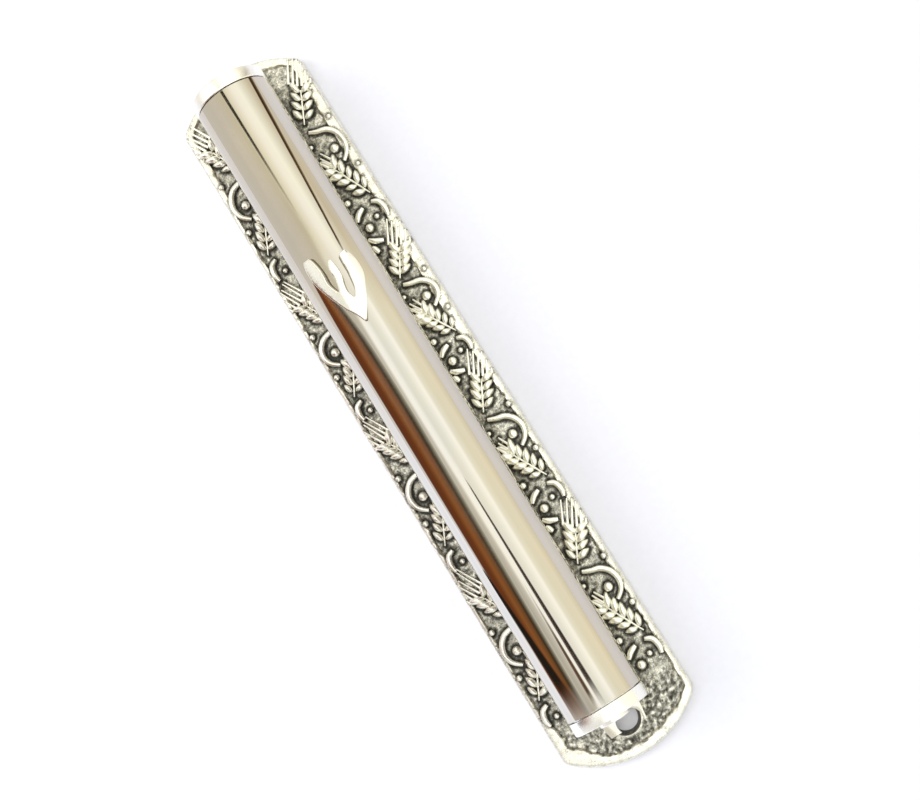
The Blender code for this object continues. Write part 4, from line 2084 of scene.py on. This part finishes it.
@dataclass
class Studio:
    """Floor, lights, cards and camera."""

    line: TubeLine
    eye: tuple[float, float, float] = (0.0464, -0.0516, 0.3167)
    target: tuple[float, float, float] = (0.0056, -0.0032, 0.0)
    up_turn: float = 32.05  # degrees that the case leans from upright in the frame
    lens: float = 59.63
    sensor: float = 36.0
    glow_centre: Point2 = (-0.062, -0.055)
    glow_half: Point2 = (0.042, 0.105)
    glow_height: float = 0.4 * MM
    daylight: tuple[tuple[float, Colour], ...] = ((0.0, (1.42, 1.50, 1.72)), (1.0, (1.20, 1.26, 1.40)))
    room_colour: Colour = (0.93, 0.94, 1.0)
    room_strength: float = 0.80

    def camera(self) -> None:
        """Stand the camera at its eye point, turned about its line of sight."""
        data = bpy.data.cameras.new("camera")
        data.lens = self.lens
        data.sensor_width = self.sensor
        data.clip_start = 0.01
        camera = bpy.data.objects.new("camera", data)
        bpy.context.scene.collection.objects.link(camera)
        back = (Vector(self.eye) - Vector(self.target)).normalized()
        lean = math.radians(self.up_turn)
        up_hint = Vector((math.sin(lean), math.cos(lean), 0.0))
        right = up_hint.cross(back).normalized()
        up = back.cross(right)
        camera.matrix_world = Matrix.Translation(self.eye) @ Matrix((right, up, back)).transposed().to_4x4()
        bpy.context.scene.camera = camera

    def floor(self) -> None:
        """Wide pale sheet under the case."""
        deselect()
        bpy.ops.mesh.primitive_plane_add(size=6, location=(0, 0, 0))
        floor = named("pale_floor")
        floor.data.materials.append(Paper().material("pale_paper"))

    def card(self, card: ReflectorCard) -> None:
        """Curve one card round the tube's axis.

        Args:
            card: The card.
        """
        deselect()
        bpy.ops.mesh.primitive_grid_add(x_subdivisions=48, y_subdivisions=24, size=2)
        sheet = named(card.name)
        for vert in sheet.data.vertices:
            across, along = (vert.co.x + 1) / 2, (vert.co.y + 1) / 2
            closing = along**card.bend
            start, end = (low + (high - low) * closing for low, high in zip(card.low_sides, card.high_sides))
            angle = math.radians(start + (end - start) * across)
            vert.co = (
                card.radius * math.sin(angle),
                card.low_y + (card.high_y - card.low_y) * along,
                max(0.3 * MM, self.line.axis_z + card.radius * math.cos(angle)),
            )
        glow = self.glow_material(card.name, card.stops, card.soft_sides, card.soft_ends)
        sheet.data.materials.append(glow)
        self.only_reflected(sheet)

    def only_reflected(self, sheet: bpy.types.Object) -> None:
        """Keep a card out of the picture, the shadows and the soft light.

        Args:
            sheet: The card.
        """
        sheet.visible_camera = False
        sheet.visible_diffuse = False
        sheet.visible_shadow = False

    def glow_material(
        self, name: str, stops: Sequence[tuple[float, Colour]], soft_sides: float, soft_ends: Point2
    ) -> bpy.types.Material:
        """Glow whose colour runs across a sheet and that fades out at its edges.

        Args:
            name: Name of the material.
            stops: Places across the sheet with their colours.
            soft_sides: Share of the width over which each side fades in.
            soft_ends: The same for the low and the high end.

        Returns:
            The glowing material.
        """
        bench = Bench(name)
        tree = bench.tree
        across, along, _ = bench.split(bench.flat)
        glow = tree.nodes.new("ShaderNodeEmission")
        tree.links.new(bench.ramp(across, stops), glow.inputs["Color"])
        output = tree.nodes["Material Output"].inputs["Surface"]
        tree.links.new(glow.outputs[0], output)
        fades = []
        softness = ((across, (soft_sides, soft_sides)), (along, soft_ends))
        for place, (at_low, at_high) in softness:
            if at_low:
                fades.append(bench.ranged(place, 0.0, at_low))
            if at_high:
                fades.append(bench.ranged(place, 1.0, 1.0 - at_high))
        if fades:
            shown = fades[0]
            for fade in fades[1:]:
                shown = bench.math("MULTIPLY", shown, fade)
            clear = tree.nodes.new("ShaderNodeBsdfTransparent")
            mix = tree.nodes.new("ShaderNodeMixShader")
            tree.links.new(shown, mix.inputs["Fac"])
            tree.links.new(clear.outputs[0], mix.inputs[1])
            tree.links.new(glow.outputs[0], mix.inputs[2])
            tree.links.new(mix.outputs[0], output)
        return bench.material

    def floor_glow(self) -> None:
        """Lavender daylight on the floor left of the case, seen only in the tube's edge."""
        deselect()
        bpy.ops.mesh.primitive_grid_add(x_subdivisions=2, y_subdivisions=2, size=2)
        sheet = named("left_floor_glow")
        for vert in sheet.data.vertices:
            x, y = (
                middle + half * value
                for middle, half, value in zip(self.glow_centre, self.glow_half, vert.co)
            )
            vert.co = (x, y, self.glow_height)
        glow = self.glow_material("left_floor_glow", self.daylight, soft_sides=0.0, soft_ends=(0.0, 0.3))
        sheet.data.materials.append(glow)
        self.only_reflected(sheet)

    def softbox(self, name: str, place: Sequence[float], size: Point2, power: float, colour: Colour) -> None:
        """Large soft light aimed at the case.

        Args:
            name: Name of the light.
            place: Where it stands.
            size: Width and height.
            power: Power in watts.
            colour: Its colour.
        """
        data = bpy.data.lights.new(name, "AREA")
        data.shape = "RECTANGLE"
        data.size, data.size_y = size
        data.energy = power
        data.color = colour
        light = bpy.data.objects.new(name, data)
        light.location = place
        light.rotation_euler = (-Vector(place)).to_track_quat("-Z", "Y").to_euler()
        bpy.context.scene.collection.objects.link(light)

    def world(self) -> None:
        """Even pale surroundings."""
        world = bpy.data.worlds.new("pale_room")
        world.use_nodes = True
        background = world.node_tree.nodes["Background"]
        background.inputs["Color"].default_value = (*self.room_colour, 1.0)
        background.inputs["Strength"].default_value = self.room_strength
        bpy.context.scene.world = world

    def build(self) -> None:
        """Set up the whole studio."""
        self.camera()
        self.floor()
        self.world()
        for card in CARDS:
            self.card(card)
        self.floor_glow()
        self.softbox("overhead_softbox", (-0.02, 0.05, 1.2), (0.10, 1.6), 3.0, (1.0, 0.99, 0.97))
        self.softbox("left_window", (-1.0, 0.5, 1.1), (0.9, 0.9), 9.0, (0.97, 0.98, 1.0))
        view = bpy.context.scene.view_settings
        view.view_transform = "Standard"
        view.look = "None"


def main() -> None:
    """Build every sub-assembly in order."""
    logging.basicConfig(level=logging.INFO, format="%(message)s")
    line = TubeLine.from_cad()
    Studio(line).build()
    low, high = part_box("backplate")
    rivet_y = [(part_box(node)[0].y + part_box(node)[1].y) / 2 for node in RIVETS]
    pewter = AntiquePewter().material("antique_pewter")
    shape = PlateShape(half_width=high.x, half_length=high.y)
    relief = GrainRelief().build(pewter)
    BackplateCasting(shape, rivet_y=rivet_y).build(pewter, relief)
    SaddleRail(line, rivet_y=rivet_y).build(CastSilver().material("satin_rail"))
    PolishedTube(line, rivet_y=rivet_y).build(PolishedNickel().material("polished_nickel", line.axis_z))
    for end in End:
        centre = Vector((0, line.high_y if end is End.TOP else line.low_y, line.axis_z))
        EndCap(line, end).build(TurnedSilver().material(f"turned_silver_{end.name.lower()}", centre))
    CapRing(line).build(RingRubber().material("ring_rubber"))
    Emblem(line).build(EmblemSilver().material("emblem_silver"))
    aluminium = DullAluminium().material("rivet_aluminium")
    for node in RIVETS:
        TubeRivet(node).build(aluminium)
    ParchmentRoll().build(Parchment().material("parchment"))
    FilmSleeve().build(ClearFilm().material("clear_film"))


if __name__ == "__main__":
    main()
